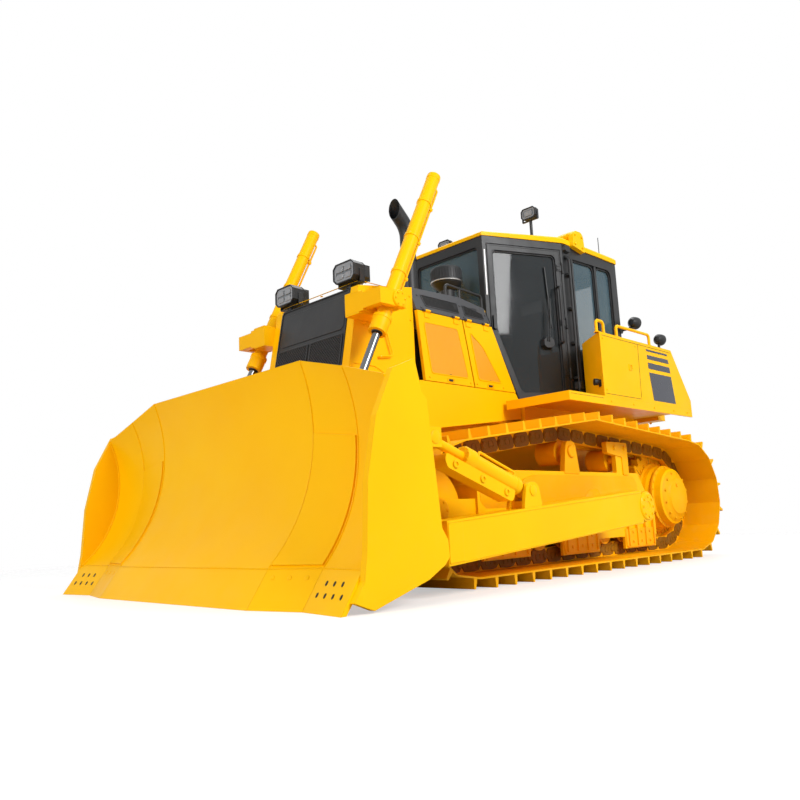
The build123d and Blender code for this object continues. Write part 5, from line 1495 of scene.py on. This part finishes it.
def makeTrackFrames():
    metal, rollers = bmesh.new(), bmesh.new()
    for side in (1, -1):
        facing, half = leftDir * side, halfGauge + trackFrame["half"]
        face, postFace = sidePlane(half, side), sidePlane(halfGauge + 148.0, side)
        for rear, front, low in trackFrame["guards"]:
            addRollerGuard(metal, face, rear, front, low)
        addRollerCaps(rollers, side)
        # rounded recoil housing on the frame's upper half, side cover and arm trunnion
        station, z = trackFrame["recoilAt"]
        addLathe(metal, at(station, side * (halfGauge + 4), z), foreDir, trackFrame["recoil"], 40)
        addSlab(metal, face, roundCorners(trackFrame["cover"], 40.0), 0.0, 14.0, 8.0)
        for u in trackFrame["coverBolts"]:
            addBolt(metal, onPlane(face, u, 505.0, 14.0), facing, 14.0, 11.0)
        addLathe(metal, onPlane(face, *arm["pin"], -2), facing, trackFrame["trunnion"], 40)
        # idler cap
        cap = at(idler[0], side * (halfGauge + 168), idler[1])
        addLathe(metal, cap, facing, trackFrame["idlerCap"], 32)
        addBoltRing(metal, cap, facing, 62.0, 6, (9.0, 8.0), raised=22.0)
        # carrier brackets: tapered front post, rear arm with its two bolts
        addSlab(metal, postFace, roundCorners(trackFrame["frontPost"], 22.0), 0.0, 46.0)
        addLathe(metal, onPlane(postFace, *carriers[0], 46), facing, trackFrame["postCap"], 28)
        rearFace = sidePlane(halfGauge + 150.0, side)
        addSlab(metal, rearFace, roundCorners(trackFrame["rearPost"], 20.0), 0.0, 48.0)
        for u in trackFrame["rearPostBolts"]:
            addBolt(metal, onPlane(postFace, u, 1010.0, 49.0), facing, 17.0, 14.0)
    addPiece("trackFrameFittings", metal, "trackPaintDustAndShade", "tractor", soften=3.0)
    addPiece("rollerCaps", rollers, "trackPaintDustAndShade", "tractor")


softened = {
    # node: rounding of its sheared edges in millimetres
    "push_arm_left": 20.0, "push_arm_right": 20.0, "tool_box_left": 26.0, "tool_box_right": 26.0,
    "fuel_tank": 30.0, "radiator_guard": 12.0, "fender_left": 12.0, "fender_right": 12.0, "hood_top": 10.0,
    "track_frame_left": 22.0, "track_frame_right": 22.0, "lift_yokes": 14.0, "grille_mask": 8.0,
    "blade": 5.0, "cab_frame": 8.0, "main_frame": 6.0,
}
for node, width in softened.items():
    addRounding(frame["nodes"][node], width)

makeGrille()
makeWorkLamps()
for side, name in bothSides:
    makeLiftFittings(side, name)
    makeYokeCaps(side, name)
makeExhaust()
makeIntake()
print("nose, lamps and lift ready")
for side, name in bothSides:
    for which, outline in doorPanels.items():
        makeEngineDoor(side, name, which, outline)
makeVents()
makeNoseDetail()
for side, name in bothSides:
    makeCabDoor(side, name)
makeCabDetail()
makeRoof()
makeSeat()
makeBoxes()
makeRear()
print("body and cab ready")
makeBladeDetail()
makeArms()
makeTracks()
makeDrives()
makeTrackFrames()
print("blade and tracks ready")


# ---- floor, light and camera ----
studio = {
    "floor": (0.50, 0.50, 0.50),
    "floorVariant": (0.48, 0.48, 0.485),
    "floorSize": 60.0,
    "floorGlow": 0.50,
    "fadeFrom": 4.5,
    "fadeTo": 9.0,
    "worldLight": 0.30,
    "lamps": [
        # name, place, aimed at, size, watts
        ("keyLamp", (0.5, 11.0, 7.0), (-0.5, 0.0, 1.2), 4.5, 1250.0),
        ("frontLamp", (10.0, 1.0, 4.5), (0.5, 0.0, 1.0), 5.0, 440.0),
        ("topLamp", (-3.0, -2.0, 11.0), (-1.0, 0.0, 1.0), 7.0, 560.0),
    ],
}


def makeFloor():
    mesh = bpy.data.meshes.new("floor")
    half = studio["floorSize"] / 2
    corners = [(-half, -half, 0), (half, -half, 0), (half, half, 0), (-half, half, 0)]
    mesh.from_pydata(corners, [], [(0, 1, 2, 3)])
    floor = bpy.data.objects.new("floor", mesh)
    scene.collection.objects.link(floor)
    material, tree, shader, place = nodeTree("floorPaint")
    mottle = addNoise(tree, place, 0.8, 3.0)
    color = addMix(tree, mottle, studio["floor"], studio["floorVariant"])
    tree.links.new(color, shader.inputs["Base Color"])
    shader.inputs["Roughness"].default_value = 0.6
    shader.inputs["Emission Color"].default_value = (1.0, 1.0, 1.0, 1.0)
    path = tree.nodes.new("ShaderNodeLightPath")
    glow = addMath(tree, "MULTIPLY", path.outputs["Is Camera Ray"], studio["floorGlow"])
    tree.links.new(glow, shader.inputs["Emission Strength"])
    # the floor fades out into the white behind it
    reach = tree.nodes.new("ShaderNodeVectorMath")
    reach.operation = "LENGTH"
    tree.links.new(place, reach.inputs[0])
    solid = addRange(tree, reach.outputs["Value"], studio["fadeFrom"], studio["fadeTo"], 1.0, 0.0)
    tree.links.new(solid, shader.inputs["Alpha"])
    floor.data.materials.append(material)


def makeWorld():
    world = bpy.data.worlds.new("studio")
    world.use_nodes = True
    scene.world = world
    tree = world.node_tree
    back = tree.nodes["Background"]
    back.inputs["Color"].default_value = (1.0, 1.0, 1.0, 1.0)
    path = tree.nodes.new("ShaderNodeLightPath")
    seen = addMath(tree, "MAXIMUM", path.outputs["Is Camera Ray"], path.outputs["Is Transmission Ray"])
    seen = addMath(tree, "MAXIMUM", seen, path.outputs["Is Glossy Ray"])
    tree.links.new(addRange(tree, seen, 0.0, 1.0, studio["worldLight"], 1.0), back.inputs["Strength"])


def makeLights():
    for name, place, target, size, watts in studio["lamps"]:
        data = bpy.data.lights.new(name, "AREA")
        data.size = size
        data.energy = watts
        light = bpy.data.objects.new(name, data)
        light.location = place
        light.rotation_euler = (Vector(target) - Vector(place)).to_track_quat("-Z", "Y").to_euler()
        scene.collection.objects.link(light)


camera = {"place": (5.1867, 4.6462, 0.4372), "heading": 225.0, "rise": 9.21, "roll": -2.67,
          "lens": 34.205, "sensor": 36.0, "farthest": 200.0}


def makeCamera():
    heading, rise, roll = (math.radians(camera[key]) for key in ("heading", "rise", "roll"))
    ahead = Vector((math.cos(heading) * math.cos(rise), math.sin(heading) * math.cos(rise), math.sin(rise)))
    right = Vector((math.sin(heading), -math.cos(heading), 0.0))
    up = right.cross(ahead)
    rolledRight = right * math.cos(roll) + up * math.sin(roll)
    rolledUp = up * math.cos(roll) - right * math.sin(roll)
    data = bpy.data.cameras.new("camera")
    data.lens = camera["lens"]
    data.sensor_width = camera["sensor"]
    data.clip_end = camera["farthest"]
    view = bpy.data.objects.new("camera", data)
    turn = Matrix((rolledRight, rolledUp, -ahead)).transposed().to_4x4()
    view.matrix_world = Matrix.Translation(Vector(camera["place"])) @ turn
    scene.collection.objects.link(view)
    scene.camera = view


makeFloor()
makeWorld()
makeLights()
makeCamera()
scene.view_settings.view_transform = "Standard"
print("studio ready")
